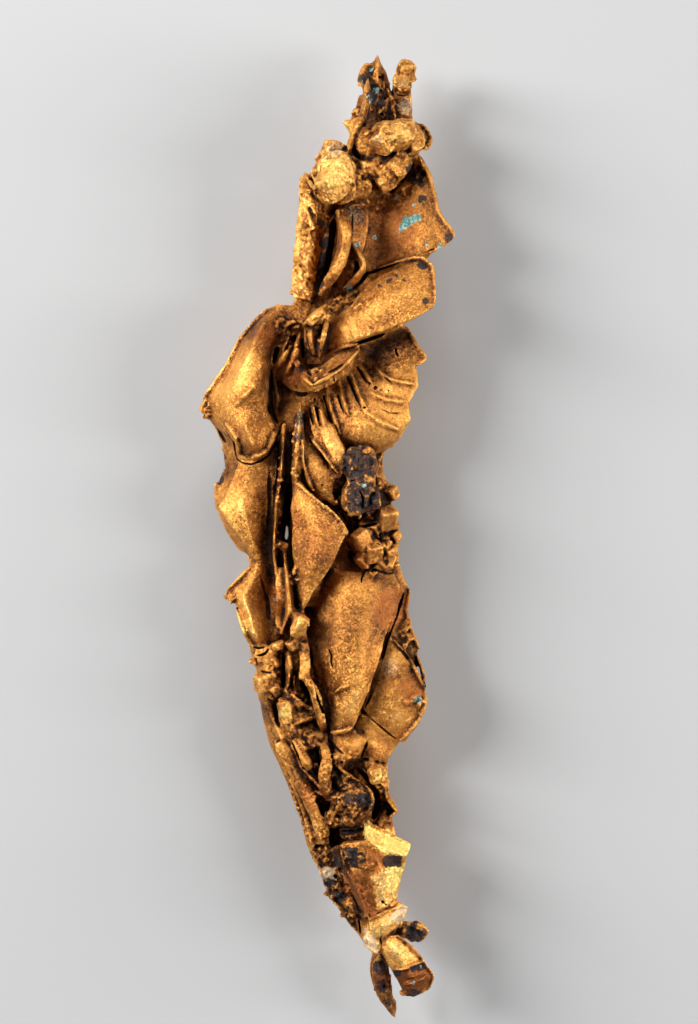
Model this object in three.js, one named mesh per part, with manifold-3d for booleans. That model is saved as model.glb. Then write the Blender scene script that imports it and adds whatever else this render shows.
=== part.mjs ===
// A nugget of native copper: leaves, ribs, nodules and crystals grown together as one piece, lying on its back.
//
// Part frame: millimetres, +Z up off the resting plane, +Y towards the upper tip. The origin is on the resting
// plane, under the middle of the piece.
// Drawing frame: every place below is [x, y, z], with x from the left edge, y up from the lower tip and z up
// from the resting plane. The finished mesh is moved from the one frame to the other at the end.
import * as THREE from "three";
import { mergeVertices } from "three/addons/utils/BufferGeometryUtils.js";
import Module from "manifold-3d";

const LEAF = 1.2; // usual thickness of a leaf
const RELIEF = 1.3; // how far the heights below are stretched
const EDGE_SHARE = 0.7; // a leaf's thickness at its edge, as a share of that inside it
const RIB_END = 0.45; // size of a rib's end, as a share of its middle
const DENT = 0.06; // depth of a nodule's dents, as a share of its radius
const DENT_WAVES = [3.1, 3.7, 4.3]; // how fast the dents follow each other along x, y and z
const CUBE = 1.7; // side of a crystal of radius 1
const LEAN = 24; // degrees that a crystal leans each way
const WELD = 1e-3; // points closer than this are one

const wasm = await Module();
wasm.setup();

const point = ([x, y, z]) => new THREE.Vector3(x, y, z * RELIEF);

// ---------------------------------------------------------------- shapes

// The closed mesh with these triangles, each three points, as a solid.
function solidOf(triangles) {
  const soup = new THREE.BufferGeometry().setFromPoints(triangles.flat());
  const merged = mergeVertices(soup, WELD);
  const index = merged.index.array;
  const kept = [];
  for (let i = 0; i < index.length; i += 3) {
    const [a, b, c] = index.subarray(i, i + 3);
    if (a !== b && b !== c && c !== a) kept.push([a, b, c]);
  }
  const solid = (faces) =>
    new wasm.Manifold(
      new wasm.Mesh({
        numProp: 3,
        vertProperties: merged.attributes.position.array,
        triVerts: new Uint32Array(faces.flat()),
      }),
    );
  const made = solid(kept);
  return made.volume() > 0 ? made : solid(kept.map(([a, b, c]) => [a, c, b]));
}

// The two triangles of a four-sided face.
const quad = (a, b, c, d) => [
  [a, b, c],
  [a, c, d],
];

// The upward unit normal at each point of a grid. A row that is a single point, a tip, looks straight up.
function normals(grid) {
  const last = grid.length - 1;
  return grid.map((row, i) => {
    const isTip = row[0].distanceTo(row[row.length - 1]) < WELD;
    return row.map((_, j) => {
      const down = grid[Math.min(i + 1, last)][j].clone().sub(grid[Math.max(i - 1, 0)][j]);
      const over = row[Math.min(j + 1, row.length - 1)].clone().sub(row[Math.max(j - 1, 0)]);
      const n = down.cross(over);
      if (isTip || n.length() < WELD) return new THREE.Vector3(0, 0, 1);
      return n.normalize().multiplyScalar(n.z < 0 ? -1 : 1);
    });
  });
}

// A leaf of copper: a sheet through rows of points, each row running across it, with its back following its
// front. A row of one point is a tip. The back is below the front, or above it where the leaf faces down.
function leaf(rows, { thick = LEAF, edge = EDGE_SHARE, facesDown = false } = {}) {
  const columns = Math.max(...rows.map((row) => row.length));
  const front = rows.map((row) => (row.length === columns ? row : Array(columns).fill(row[0])).map(point));
  const up = normals(front);
  const [bottom, right] = [front.length - 1, front[0].length - 1];
  const back = front.map((row, i) =>
    row.map((p, j) => {
      const isEdge = i === 0 || j === 0 || i === bottom || j === right;
      const drop = thick * (isEdge ? edge : 1) * (facesDown ? -1 : 1);
      return p.clone().addScaledVector(up[i][j], -drop);
    }),
  );
  const faces = [];
  for (let i = 0; i < bottom; i++)
    for (let j = 0; j < right; j++) {
      faces.push(...quad(front[i][j], front[i + 1][j], front[i + 1][j + 1], front[i][j + 1]));
      faces.push(...quad(back[i][j], back[i][j + 1], back[i + 1][j + 1], back[i + 1][j]));
    }
  for (let i = 0; i < bottom; i++) {
    faces.push(...quad(front[i][0], back[i][0], back[i + 1][0], front[i + 1][0]));
    faces.push(...quad(front[i + 1][right], back[i + 1][right], back[i][right], front[i][right]));
  }
  for (let j = 0; j < right; j++) {
    faces.push(...quad(front[0][j + 1], back[0][j + 1], back[0][j], front[0][j]));
    faces.push(...quad(front[bottom][j], back[bottom][j], back[bottom][j + 1], front[bottom][j + 1]));
  }
  return solidOf(faces);
}

// A rib: a ridged bar of four sides along a path, as tall as it says and tapering at both ends.
function rib(path, wide, tall) {
  const line = path.map(point);
  const last = line.length - 1;
  const rings = line.map((p, i) => {
    const ahead = line[Math.min(i + 1, last)].clone().sub(line[Math.max(i - 1, 0)]);
    const side = new THREE.Vector3(ahead.y, -ahead.x, 0).normalize();
    const size = (i === 0 || i === last ? RIB_END : 1) / 2;
    const rise = new THREE.Vector3(0, 0, tall * RELIEF * size);
    side.multiplyScalar(wide * size);
    return [p.clone().add(side), p.clone().add(rise), p.clone().sub(side), p.clone().sub(rise)];
  });
  const faces = [...quad(...rings[0]), ...quad(...rings[last].toReversed())];
  for (let i = 0; i < last; i++)
    for (let k = 0; k < 4; k++) {
      const n = (k + 1) % 4;
      faces.push(...quad(rings[i][k], rings[i + 1][k], rings[i + 1][n], rings[i][n]));
    }
  return solidOf(faces);
}

// A closed geometry as a solid.
function solidFrom(geometry) {
  const p = (geometry.index ? geometry.toNonIndexed() : geometry).getAttribute("position");
  const corners = Array.from({ length: p.count }, (_, i) => new THREE.Vector3().fromBufferAttribute(p, i));
  return solidOf(Array.from({ length: p.count / 3 }, (_, i) => corners.slice(3 * i, 3 * i + 3)));
}

// A geometry of radius 1 stretched to three radii, turned about Z and put in place.
function placed(unit, [x, y, z], [wide, long, tall], turn) {
  unit.scale(wide, long, tall * RELIEF);
  unit.rotateZ(THREE.MathUtils.degToRad(turn));
  unit.translate(x, y, z * RELIEF);
  return solidFrom(unit);
}

// A nodule: a lumpy ball. Its dents come from a few waves, so each turn and place gives its own.
function nodule(centre, radii, turn = 0, detail = 0) {
  const ball = new THREE.IcosahedronGeometry(1, detail);
  const p = ball.getAttribute("position");
  const v = new THREE.Vector3();
  for (let i = 0; i < p.count; i++) {
    v.fromBufferAttribute(p, i);
    const dents = DENT_WAVES.map((wave, axis) => Math.sin(wave * v.getComponent(axis) + centre[axis] + turn));
    v.multiplyScalar(1 + DENT * (dents[0] + dents[1] + dents[2]));
    p.setXYZ(i, v.x, v.y, v.z);
  }
  return placed(ball, centre, radii, turn);
}

// A crystal: a cube leaning to one side, so that three of its faces show from above.
function crystal(centre, radii, turn = 0) {
  const cube = new THREE.BoxGeometry(CUBE, CUBE, CUBE);
  cube.rotateX(THREE.MathUtils.degToRad(LEAN));
  cube.rotateY(THREE.MathUtils.degToRad(LEAN));
  return placed(cube, centre, radii, turn);
}

// ---------------------------------------------------------------- the mass behind the leaves

const backing = () => [
  leaf(
    [
      [[20.4, 112.6, 4.6], [22.4, 112.6, 6.6], [24.6, 112.2, 5]],
      [[13.6, 92, 5.2], [18, 92, 8], [23.6, 93, 6]],
      [[4.6, 77, 5.4], [13, 77, 8], [23, 77, 6.4]],
      [[6.2, 52, 5], [14, 55, 7.4], [22.4, 54, 6.3]],
      [[10.4, 33, 4.7], [16.6, 34, 7], [23.4, 34, 6.2]],
      [[20.5, 9, 5.5], [22.2, 8.6, 6.8], [24, 8.6, 7.6]],
    ],
    { thick: 7.4, edge: 0.2 },
  ),
];

// ---------------------------------------------------------------- the upper end

const crown = () => [
  leaf(
    [
      [[22, 119.3, 6.5]],
      [[20.7, 117.8, 6], [22, 117.4, 7.6], [23.2, 117.2, 6.2]],
      [[20.1, 114.6, 5.8], [21.8, 114.4, 8], [23.8, 114.6, 6.3]],
      [[20.4, 111.8, 6], [22.2, 111.4, 8.2], [24.4, 111.6, 6.5]],
      [[19.8, 108.6, 6.4], [22.4, 108.6, 8.6], [25, 109.2, 7]],
    ],
    { thick: 2.2 },
  ),
  nodule([20.6, 115.8, 6.2], [1.1, 1.9, 1.2], 12),
  rib([[20.9, 115.6, 7.8], [20.4, 112.2, 8.9], [19.6, 109.4, 9.3], [18.7, 106.6, 9.2], [18.8, 104.6, 8]], 0.7, 2.2),
  leaf(
    [
      [[17.5, 110.8, 6.4], [19.8, 111.4, 7]],
      [[18.4, 109.4, 6.4], [19.9, 109.3, 7.6]],
      [[18.6, 107.2, 6], [19.8, 106.6, 7.6]],
    ],
    { thick: 1.4 },
  ),
  nodule([25.1, 115.8, 7.2], [1.5, 1.6, 1.4], 20),
  nodule([25.5, 117.2, 7.3], [1.45, 1.5, 1.25], 50, 1),
  leaf(
    [
      [[23.9, 115.4, 7], [26.1, 115, 6.6]],
      [[23.8, 112.4, 7.2], [26.4, 112.8, 6.6]],
      [[24, 110.2, 7.8], [26.4, 110.2, 6.8]],
    ],
    { thick: 2 },
  ),
];

const brow = () => [
  leaf(
    [
      [[20.6, 110.3, 7.4], [23.6, 110.8, 8.4], [26.2, 110.9, 7.6], [27.8, 110.6, 6.6]],
      [[19.8, 109, 8.8], [23.4, 109.6, 11], [26, 109.4, 9.8], [28.2, 109, 7]],
      [[19.2, 107.6, 9.2], [23, 108, 12], [25.8, 107.8, 11], [28.5, 108, 7.2]],
      [[18.8, 106.4, 9], [22.6, 106.8, 11.4], [25.2, 106.8, 10.8], [27.4, 106.9, 7.6]],
      [[18.9, 105.6, 8], [22.6, 106, 9.2], [25.2, 106.2, 9], [26.8, 106.6, 7]],
    ],
    { thick: 2.4 },
  ),
  nodule([21.2, 104.6, 8.7], [2.5, 1.5, 1.9], -14),
  nodule([23.9, 104.9, 8.7], [2, 1.3, 1.8], 8),
  nodule([22.6, 103.1, 8.4], [2.1, 1.6, 1.9], 0),
];

const shoulderNodules = () => [
  nodule([16.6, 106.4, 8.6], [2, 2.1, 1.9], 0),
  nodule([15.1, 104.2, 8.6], [1.4, 2.3, 1.6], -8),
  nodule([16.9, 102.4, 9.9], [2.7, 2.2, 2.6], 25, 1),
  nodule([19, 104.4, 9], [2.2, 1.4, 1.6], -35),
  nodule([19.8, 101.9, 9.2], [1.2, 1.35, 1.4], 0),
];

const shoulderPlates = () => [
  leaf(
    [
      [[12.5, 104.1, 7], [13.2, 104.2, 8], [14.2, 104.2, 8.2]],
      [[12.5, 101, 7], [13.4, 101, 8.8], [15, 101, 8.6]],
      [[12.7, 97.8, 7], [14.2, 97.8, 9.4], [15.7, 98, 8.6]],
      [[12.4, 95.2, 7], [13.8, 95.2, 9.2], [15.4, 95.6, 8]],
      [[12, 92.8, 7], [13.2, 92.6, 8.8], [14.6, 92.6, 7.6]],
      [[12.1, 90.2, 7], [13, 90.2, 8.4], [14, 90.2, 7.6]],
      [[12.5, 88.3, 7], [13.1, 88.3, 7.8], [13.8, 88.3, 7.4]],
    ],
    { thick: 2.6 },
  ),
  nodule([12.2, 94.8, 7.4], [0.6, 0.7, 0.7]),
  nodule([12.2, 92.5, 7.6], [0.8, 0.9, 0.9], 30),
  nodule([12.6, 89.3, 7.6], [0.9, 1.1, 1], 60),
  rib([[17.2, 99.6, 8.6], [17.7, 96.9, 9.6], [17.5, 93.9, 9.8], [16.4, 91.3, 9.2], [14.9, 89.2, 8.4]], 1.5, 3.2),
  leaf(
    [
      [[18.3, 100.4, 8.8], [20.8, 100.6, 8.2]],
      [[18.4, 97.8, 9.4], [20.9, 97.2, 8.4]],
      [[18.6, 95.6, 9.4], [20.4, 94.9, 8.2]],
      [[19.2, 93.8, 8.6], [19.8, 93.6, 8.2]],
    ],
    { thick: 1.6 },
  ),
  rib([[18.8, 95.4, 8.6], [20, 93.6, 9.2], [20.4, 92.2, 9.2], [19.4, 90.9, 8.8], [17.8, 89.8, 8]], 0.6, 2.6),
];

// ---------------------------------------------------------------- the right side, upper half

const rightWing = () => [
  leaf(
    [
      [[21.2, 102, 6.2], [23.9, 102, 6.6], [26.1, 104.4, 6.4], [27, 106.9, 6.6]],
      [[21.1, 99.9, 5.2], [23.6, 100.3, 6.8], [26.5, 101.8, 7.5], [28.6, 104, 7.4]],
      [[20.9, 97.8, 5], [23.4, 98, 6.8], [26.8, 98.8, 8.2], [29.4, 100.2, 8]],
      [[20.9, 95.4, 5.2], [23.6, 95.4, 7], [27.4, 95.9, 8.8], [31.4, 96.4, 9.2]],
      [[20.9, 93, 6], [23.6, 92.9, 7.6], [26.4, 93.7, 9], [30, 94.9, 8.8]],
      [[21.1, 91.2, 7], [23, 91.4, 8.2], [24.9, 92.4, 9], [28, 94.2, 8.7]],
    ],
    { thick: 1.1 },
  ),
];

const wedge = () => [
  leaf(
    [
      [[15.4, 82.3, 9], [15.7, 84, 9.2], [16, 85.8, 8.8]],
      [[18, 83.2, 10.6], [18.3, 85.6, 10.8], [18.6, 88, 9.4]],
      [[21.1, 84.1, 11.4], [20.9, 87.3, 11.2], [20.6, 90.7, 9]],
      [[24.9, 85.4, 12], [24.9, 89, 11.6], [24.9, 92.8, 9.3]],
      [[27.4, 86.6, 12], [27.4, 90.2, 11.4], [27.3, 93.9, 9.5]],
      [[28.9, 87.6, 11.7], [28.9, 90, 11.2], [28.8, 92.2, 10]],
    ],
    { thick: 1.2 },
  ),
  leaf(
    [
      [[16, 82, 9], [16.4, 84.6, 8.6]],
      [[21, 83.4, 8.4], [21, 88, 8]],
      [[25, 85.4, 8.8], [25, 90.6, 8.6]],
    ],
    { thick: 1.4 },
  ),
];

const boat = () => [
  leaf(
    [
      [[12, 81.5, 9.6]],
      [[12.8, 78.9, 11], [13.6, 80.2, 10]],
      [[14.1, 77.8, 12], [14.8, 80.4, 10.2]],
      [[16.4, 78.9, 12], [16, 81.4, 10]],
      [[18.9, 81, 10.8], [18, 82.8, 9.6]],
      [[19.9, 83.3, 9.8]],
    ],
    { thick: 1.6 },
  ),
  leaf(
    [
      [[11.6, 82.2, 8.6]],
      [[10.9, 79.9, 8.4], [12.6, 79.6, 9.8]],
      [[10.1, 78.7, 8], [13.4, 78.2, 10]],
      [[11.2, 77.2, 8], [14, 77.2, 9.6]],
    ],
    { thick: 2.2 },
  ),
  leaf(
    [
      [[12.9, 85.7, 8.9], [14.6, 85.6, 9.4]],
      [[13, 83, 9], [14.8, 83, 10]],
      [[13.2, 80.6, 8.6], [15, 80.6, 9.2]],
    ],
    { thick: 2.6 },
  ),
  rib([[12.9, 85.4, 9], [14.4, 86.8, 9.9], [15.9, 88, 9.6]], 1.4, 3.2),
  rib([[15.6, 86.4, 9.2], [15.5, 84, 10.4], [14.9, 81.4, 9.8]], 0.9, 3.6),
  rib([[11.4, 84.8, 7.8], [10.6, 82.6, 8.2], [9.9, 80.2, 7.8]], 0.9, 2.4),
  rib([[12.6, 84.8, 8.2], [12.1, 83, 8.8], [11.8, 81, 8.4]], 0.8, 2.4),
];

const fan = () => [
  leaf(
    [
      [[20.8, 84.3, 8], [22.6, 84.8, 8], [24.4, 85.3, 8], [25.6, 85.6, 8]],
      [[18.9, 81.6, 8], [21.8, 82, 7.7], [24.9, 82, 8.5], [28, 81.6, 8.9]],
      [[17.2, 79.6, 8.6], [21, 79.8, 8.3], [24.2, 80, 9.2], [26.5, 80.4, 9]],
      [[15.5, 78, 9], [19.8, 78, 9.2], [23.8, 78.2, 9.8], [27.1, 78.2, 8.9]],
      [[16, 75.8, 9], [19.6, 75.8, 10], [23, 75.8, 10.2], [25.8, 75.9, 9]],
      [[16.8, 73.6, 9.2], [19.6, 73.4, 10.4], [23, 73.4, 10.4], [26.1, 74, 8.8]],
      [[17.5, 71.8, 9], [19.6, 71.6, 9.9], [22.4, 71.3, 9.8], [24.9, 71.6, 8.4]],
      [[18, 70.6, 8], [19.6, 70.3, 8.4], [21.4, 69.9, 8.4], [22.9, 70, 7.8]],
    ],
    { thick: 1.3 },
  ),
];

// ---------------------------------------------------------------- the left side, upper half

const leftWing = () => [
  leaf(
    [
      [[8.3, 88, 7], [9.9, 88.4, 7.8], [11.9, 88.2, 7.8], [13.9, 88.4, 8]],
      [[6.9, 86.3, 7.4], [8.1, 85.8, 10], [10.5, 86, 8.6], [13.2, 86.1, 8.6]],
      [[4.9, 83.6, 7.4], [6.9, 83, 11], [8.4, 83, 9.6], [9, 83, 8]],
      [[3, 80.3, 7], [5.5, 79.9, 11.2], [7.8, 80.2, 11], [8.9, 80.2, 8.2]],
      [[0.6, 77.4, 6.4], [4.3, 77.4, 10.6], [7.1, 77.8, 12], [8.8, 77.4, 8.5]],
      [[0, 75.4, 6], [3.4, 75.1, 9.6], [6.1, 75.2, 10.8], [8.6, 75.2, 8.5]],
      [[1.5, 73.4, 6.4], [3.9, 73.2, 9.5], [6.1, 72.9, 11.8], [9.4, 73.3, 8.8]],
      [[4.4, 71.4, 8.4], [5.4, 71.1, 10.5], [6.9, 70.9, 11.6], [9.1, 71.7, 9]],
      [[4.9, 69.8, 8.6], [5.8, 68.9, 9.4], [7.1, 69.2, 9.6], [8.4, 70.2, 8.8]],
    ],
    { thick: 1.4 },
  ),
  leaf(
    [
      [[1.4, 73.6, 6], [4.2, 73.2, 8]],
      [[2.4, 71.8, 5.4], [5.2, 70.8, 8]],
      [[3.2, 69.8, 5.2], [5.4, 69.2, 7.8]],
      [[3.9, 67.4, 5.4], [5.6, 67.2, 7]],
    ],
    { thick: 1.4 },
  ),
];

const leftMiddleWing = () => [
  leaf(
    [
      [[4.9, 68.8, 7.4], [6.8, 69.6, 8.2], [8.6, 70.8, 8.2], [10.8, 72.8, 8.2]],
      [[3.6, 65.8, 8], [6.1, 66.1, 9], [8.6, 66.5, 8.2], [11, 67.4, 7.6]],
      [[2.4, 63.3, 8], [5.5, 63.3, 9.6], [8.4, 63.3, 7.2], [10.4, 63.6, 7.4]],
      [[4.4, 60.5, 8.6], [6.3, 60.5, 9.2], [8.5, 60.5, 6.6], [9.9, 60.5, 7.2]],
      [[6.1, 58, 8.4], [7, 58.1, 8.6], [8.5, 58.2, 6.6], [9.6, 58, 7.2]],
      [[6.9, 56.8, 7.8], [7.6, 56.8, 7.8], [8.5, 56.4, 6.8], [9.6, 56, 7.2]],
    ],
    { thick: 1.3 },
  ),
  leaf(
    [
      [[1.9, 63.2, 5.4], [3.4, 63.4, 8]],
      [[3.4, 60.2, 6.2], [5, 60.6, 8.4]],
      [[4.8, 58.2, 6.4], [6.4, 58.6, 8.2]],
      [[6.6, 56.6, 6.4], [7.2, 57, 7.6]],
    ],
    { thick: 1.6 },
  ),
  leaf(
    [
      [[2.5, 71, 4.6], [4.2, 70.6, 6.4]],
      [[3.1, 68.6, 4.6], [5, 68, 6.8]],
      [[2.3, 66.8, 4.6], [4.6, 66.2, 7.2]],
      [[1.6, 65.4, 5], [4, 65.2, 7.4]],
      [[1.8, 63.2, 5.4], [3.6, 63, 7.4]],
    ],
    { thick: 1.8 },
  ),
];

const leftLowerWing = () => [
  leaf(
    [
      [[6.8, 56.8, 7.2], [7.6, 56.8, 7.6], [8.9, 56.8, 6.6], [10.6, 56.6, 7.2]],
      [[5.3, 54.9, 7.4], [6.8, 54.6, 8.2], [8.9, 54.4, 6.2], [10.7, 54.4, 7.2]],
      [[3.3, 53.1, 7], [5.6, 52.6, 8.9], [8.6, 52.3, 6], [10.9, 52.3, 7.4]],
      [[4.9, 50.3, 7.8], [6.5, 50.3, 9.6], [8.6, 50.3, 6.4], [10.6, 50.3, 7.6]],
      [[5.4, 48, 8], [6.9, 48, 9.8], [8.6, 48.2, 7.2], [10.1, 48.6, 7.6]],
      [[6.1, 46.5, 7.6], [7.4, 46.4, 8.4], [8.6, 46.5, 7.6], [9.6, 47, 7.6]],
    ],
    { thick: 1.5 },
  ),
  nodule([4.1, 52.3, 6], [0.8, 0.9, 1], 40),
];

const seam = () => [
  rib([[10.6, 73.6, 8.6], [10.3, 68, 8.4], [9.6, 63, 7.8], [9.3, 58, 7.8], [9.9, 53, 8]], 0.8, 2.6),
  rib([[10.5, 58, 7.6], [11.1, 54, 8.6], [11.3, 50.6, 8.8], [10.2, 47.8, 8]], 1.3, 2.8),
  rib([[12.6, 76.2, 8.8], [12.4, 72, 9.2], [12, 68, 9.2], [11.9, 64.6, 8.8]], 1.6, 3),
  nodule([10.4, 58.6, 8], [0.8, 0.9, 0.9]),
];

// ---------------------------------------------------------------- the middle

const middleLeaves = () => [
  leaf(
    [
      [[13.4, 75.8, 9.2], [14.6, 75.8, 9.6]],
      [[13.7, 73.4, 9.6], [16.2, 73.2, 10]],
      [[14.3, 71.2, 9.8], [17, 70.6, 10.4]],
      [[15.5, 69.3, 9.8], [17.6, 68.4, 10.3]],
      [[17.3, 66.8, 9.6], [17.9, 66.6, 9.6]],
    ],
    { thick: 1.6 },
  ),
  leaf(
    [
      [[12.2, 72, 9], [13, 71.6, 9.3], [13.9, 71.2, 9]],
      [[12.3, 69.4, 8.8], [13.8, 69.2, 9.8], [15.6, 68.8, 9.4]],
      [[12.6, 67.6, 8.8], [14.4, 67.4, 9.9], [17, 66.8, 9.4]],
      [[13.4, 65.8, 8.6], [15, 65.8, 9.7], [16.6, 65.2, 9.3]],
      [[15.1, 64.2, 8.6], [16, 63.9, 9], [16.9, 63.2, 8.8]],
    ],
    { thick: 1.6 },
  ),
  leaf(
    [
      [[11.8, 66.5, 9.6], [12.3, 66.5, 10], [12.9, 66.2, 10]],
      [[11.4, 63.6, 9.6], [13.1, 63.6, 10.8], [15.5, 63.8, 10.9]],
      [[11.5, 60.5, 9.6], [14.4, 60.5, 11.5], [18.5, 60.3, 11.8]],
      [[11.5, 57.8, 9.4], [14.2, 57.8, 11.4], [17.3, 57.8, 11.4]],
      [[11.9, 54.9, 9], [13.5, 54.9, 10.8], [15.8, 54.9, 10.8]],
      [[12.3, 52.1, 8.8], [12.9, 52.1, 10], [13.9, 52.1, 10]],
      [[12.8, 50.4, 9.2]],
    ],
    { thick: 1.2 },
  ),
  leaf(
    [
      [[11.6, 65, 8], [15, 65, 8.4]],
      [[11.6, 58, 8.2], [16.4, 58, 8.6]],
      [[12.2, 51, 7.6], [14, 51, 7.8]],
    ],
    { thick: 2.4 },
  ),
];

const darkLumps = () => [
  nodule([19.6, 68.5, 8.4], [2.4, 2.2, 2.2], 0, 1),
  nodule([19.9, 64.5, 8.6], [2.8, 2.3, 2.5], -10, 1),
  nodule([18.3, 64.1, 8.4], [1.4, 2, 2]),
  leaf(
    [
      [[20.8, 70.8, 7.2], [22.8, 70.2, 7.4]],
      [[21.2, 68.6, 8], [22.4, 68.8, 7.4]],
      [[21.6, 66.6, 8], [23.1, 66.8, 7.4]],
      [[21.8, 65.2, 7.8], [24.6, 65, 7.6]],
      [[21.8, 63, 7.8], [23, 63.2, 7.2]],
    ],
    { thick: 1.8 },
  ),
  crystal([23.2, 62, 8], [1.25, 1.5, 1.6], 15),
  leaf(
    [
      [[22.8, 62, 7], [24, 61.8, 6.8]],
      [[22.6, 60.3, 7.2], [24.9, 60.3, 7.2]],
      [[22.8, 59, 7.2], [24.5, 58.9, 7]],
      [[22.6, 57.6, 7.2], [23.8, 57.6, 6.8]],
    ],
    { thick: 1.8 },
  ),
  nodule([21.3, 61.1, 8], [2.2, 1.1, 1.5], -8),
  crystal([20.1, 59.1, 8.6], [1.4, 1.4, 1.7], 40),
  crystal([21.6, 58.1, 8.2], [1.5, 1.5, 1.7], 10),
  crystal([20.4, 57.1, 8], [1.3, 1.1, 1.3], 70),
  nodule([22.9, 56.9, 8], [1.6, 1.2, 1.5], 20),
  nodule([21.9, 56.2, 8], [1.1, 0.9, 1.3], 0),
];

// ---------------------------------------------------------------- the great leaf and what lies right of it

const greatLeaf = () => [
  leaf(
    [
      [[16.6, 56, 8], [18.6, 55.6, 8.8], [21.4, 55.6, 9], [23.9, 55.6, 7.9]],
      [[15.1, 53.6, 7.6], [18, 53.4, 9.8], [21.8, 53.4, 10], [25, 53.6, 8.2]],
      [[13.9, 50.9, 7.4], [17.1, 50.9, 10.2], [20.9, 50.9, 10.6], [24.3, 51, 8.5]],
      [[13.5, 47.4, 7.2], [16.8, 47.4, 10.3], [20.1, 47.4, 10.8], [23, 47.3, 8.9]],
      [[13.9, 43.6, 7.2], [16.8, 43.6, 10], [19.9, 43.6, 10.8], [22.1, 43.8, 9.1]],
      [[14.9, 40.5, 7.4], [17.1, 40.5, 9.6], [19.5, 40.5, 10.6], [21.1, 40.8, 9.1]],
      [[15.6, 37.8, 7.7], [17.1, 37.8, 9.4], [18.6, 37.8, 9.8], [19.9, 38.3, 8.9]],
      [[16.4, 35.6, 7.9], [17.3, 35.7, 9], [18.1, 35.8, 9.2], [19, 36.2, 8.7]],
    ],
    { thick: 1.6 },
  ),
];

const rightLeaves = () => [
  leaf(
    [
      [[23.6, 57.2, 7.2], [24.6, 56.8, 6.6]],
      [[24, 53.6, 7.4], [26, 53.3, 6.4]],
      [[23.8, 50.8, 7.4], [25.6, 50.8, 6.4]],
      [[23, 48.3, 7.6], [26.1, 48.2, 6.5]],
      [[23.8, 46.2, 7.6], [27.1, 45.8, 6.5]],
      [[25, 44.4, 7.2], [27, 44, 6.4]],
    ],
    { thick: 1.4 },
  ),
  rib([[26.7, 45.2, 6.2], [27.4, 43.4, 6.2], [27.9, 41, 6.6]], 0.6, 1.4),
  leaf(
    [
      [[23, 47.6, 7.6], [23.4, 47.7, 8], [23.7, 47.4, 7.8]],
      [[22, 43.9, 7.6], [23.9, 44.3, 8.5], [26.1, 44.1, 8]],
      [[20.7, 40.5, 7.6], [23.9, 40.8, 8.7], [27.9, 41.3, 8]],
      [[20.1, 38.6, 7.4], [23.9, 38.5, 8.5], [27.9, 39.5, 7.9]],
      [[21.8, 37, 7.4], [24.3, 36.5, 8.2], [27.3, 36.9, 7.6]],
      [[23.8, 35, 7.2], [24.6, 34.6, 7.4], [25.4, 34.4, 7.2]],
    ],
    { thick: 1.4 },
  ),
  leaf(
    [
      [[19.6, 38.4, 7], [21.4, 37.4, 7.4], [22.9, 36.4, 7]],
      [[19, 36.4, 7.2], [21.1, 35.9, 7.8], [24.7, 34.6, 7.2]],
      [[19.2, 34.4, 7.2], [21.6, 34, 8.2], [23.9, 33.2, 7]],
      [[19.6, 32.6, 7], [21.6, 32.3, 7.4], [23.1, 31.8, 6.8]],
    ],
    { thick: 1.8 },
  ),
  leaf(
    [
      [[16.5, 35.8, 7.5], [17.8, 35.9, 8.2], [19, 36.2, 8]],
      [[16.5, 34.5, 7.6], [18.4, 34.5, 9], [20.6, 35.1, 8.2]],
      [[17.5, 33.3, 7.6], [18.9, 33, 8.6], [20.4, 33.4, 7.8]],
      [[18.4, 32.2, 7.2], [19.1, 32, 7.4], [19.8, 32.4, 7.2]],
    ],
    { thick: 1.6 },
  ),
];

// ---------------------------------------------------------------- the left side, lower half

const sideCrystals = () => [
  crystal([12.5, 48.9, 9], [1.1, 1.9, 1.5], 0),
  nodule([11.9, 47, 8.8], [0.9, 0.8, 1.2]),
  nodule([10, 46.5, 8.4], [1.1, 0.6, 0.9]),
  rib([[12.8, 46.6, 8.8], [13.1, 44.2, 9.2], [13.3, 42.4, 9.2], [14.5, 40.8, 8.8], [15, 38.8, 8.6], [15.3, 36.4, 7.8]], 1.1, 3),
  rib([[10.9, 46.2, 8], [11.1, 43.6, 8.4], [10.9, 40.6, 8]], 1, 2.8),
  rib([[12.1, 45, 7.4], [12.2, 42.6, 7.6], [11.8, 40, 7.6]], 0.6, 2.4),
  leaf(
    [
      [[6.2, 46.6, 7.2], [7.6, 46.4, 8.4], [9.8, 46.4, 8.2]],
      [[6.6, 44.4, 7], [8.1, 44.4, 8.8], [10, 44.2, 8.2]],
      [[7.1, 43.3, 6.8], [8.4, 43.2, 8.4], [10.2, 43, 8]],
      [[6.7, 42.2, 7], [8.4, 41.9, 8.9], [10.3, 41.6, 8.2]],
      [[7.2, 40.4, 6.8], [8.9, 39.8, 8.4], [10.6, 39.6, 7.8]],
    ],
    { thick: 2 },
  ),
  leaf(
    [
      [[10.5, 41.2, 8.4], [11.7, 40.8, 8.4]],
      [[11, 39, 8.8], [13.1, 39.2, 8.8]],
      [[11.2, 37.6, 8.8], [14.8, 38.1, 8.6]],
      [[11, 36.3, 8.2], [12.6, 36.8, 8.2]],
    ],
    { thick: 1.8 },
  ),
  crystal([10.9, 38.5, 8.8], [0.9, 1.6, 1.3], 8),
  leaf(
    [
      [[11, 37, 7.4], [15.4, 37.6, 7.4]],
      [[11.8, 34.4, 7.4], [16, 34.8, 7.6]],
      [[13, 32, 7.4], [16.4, 32.4, 7.6]],
    ],
    { thick: 2 },
  ),
];

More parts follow.
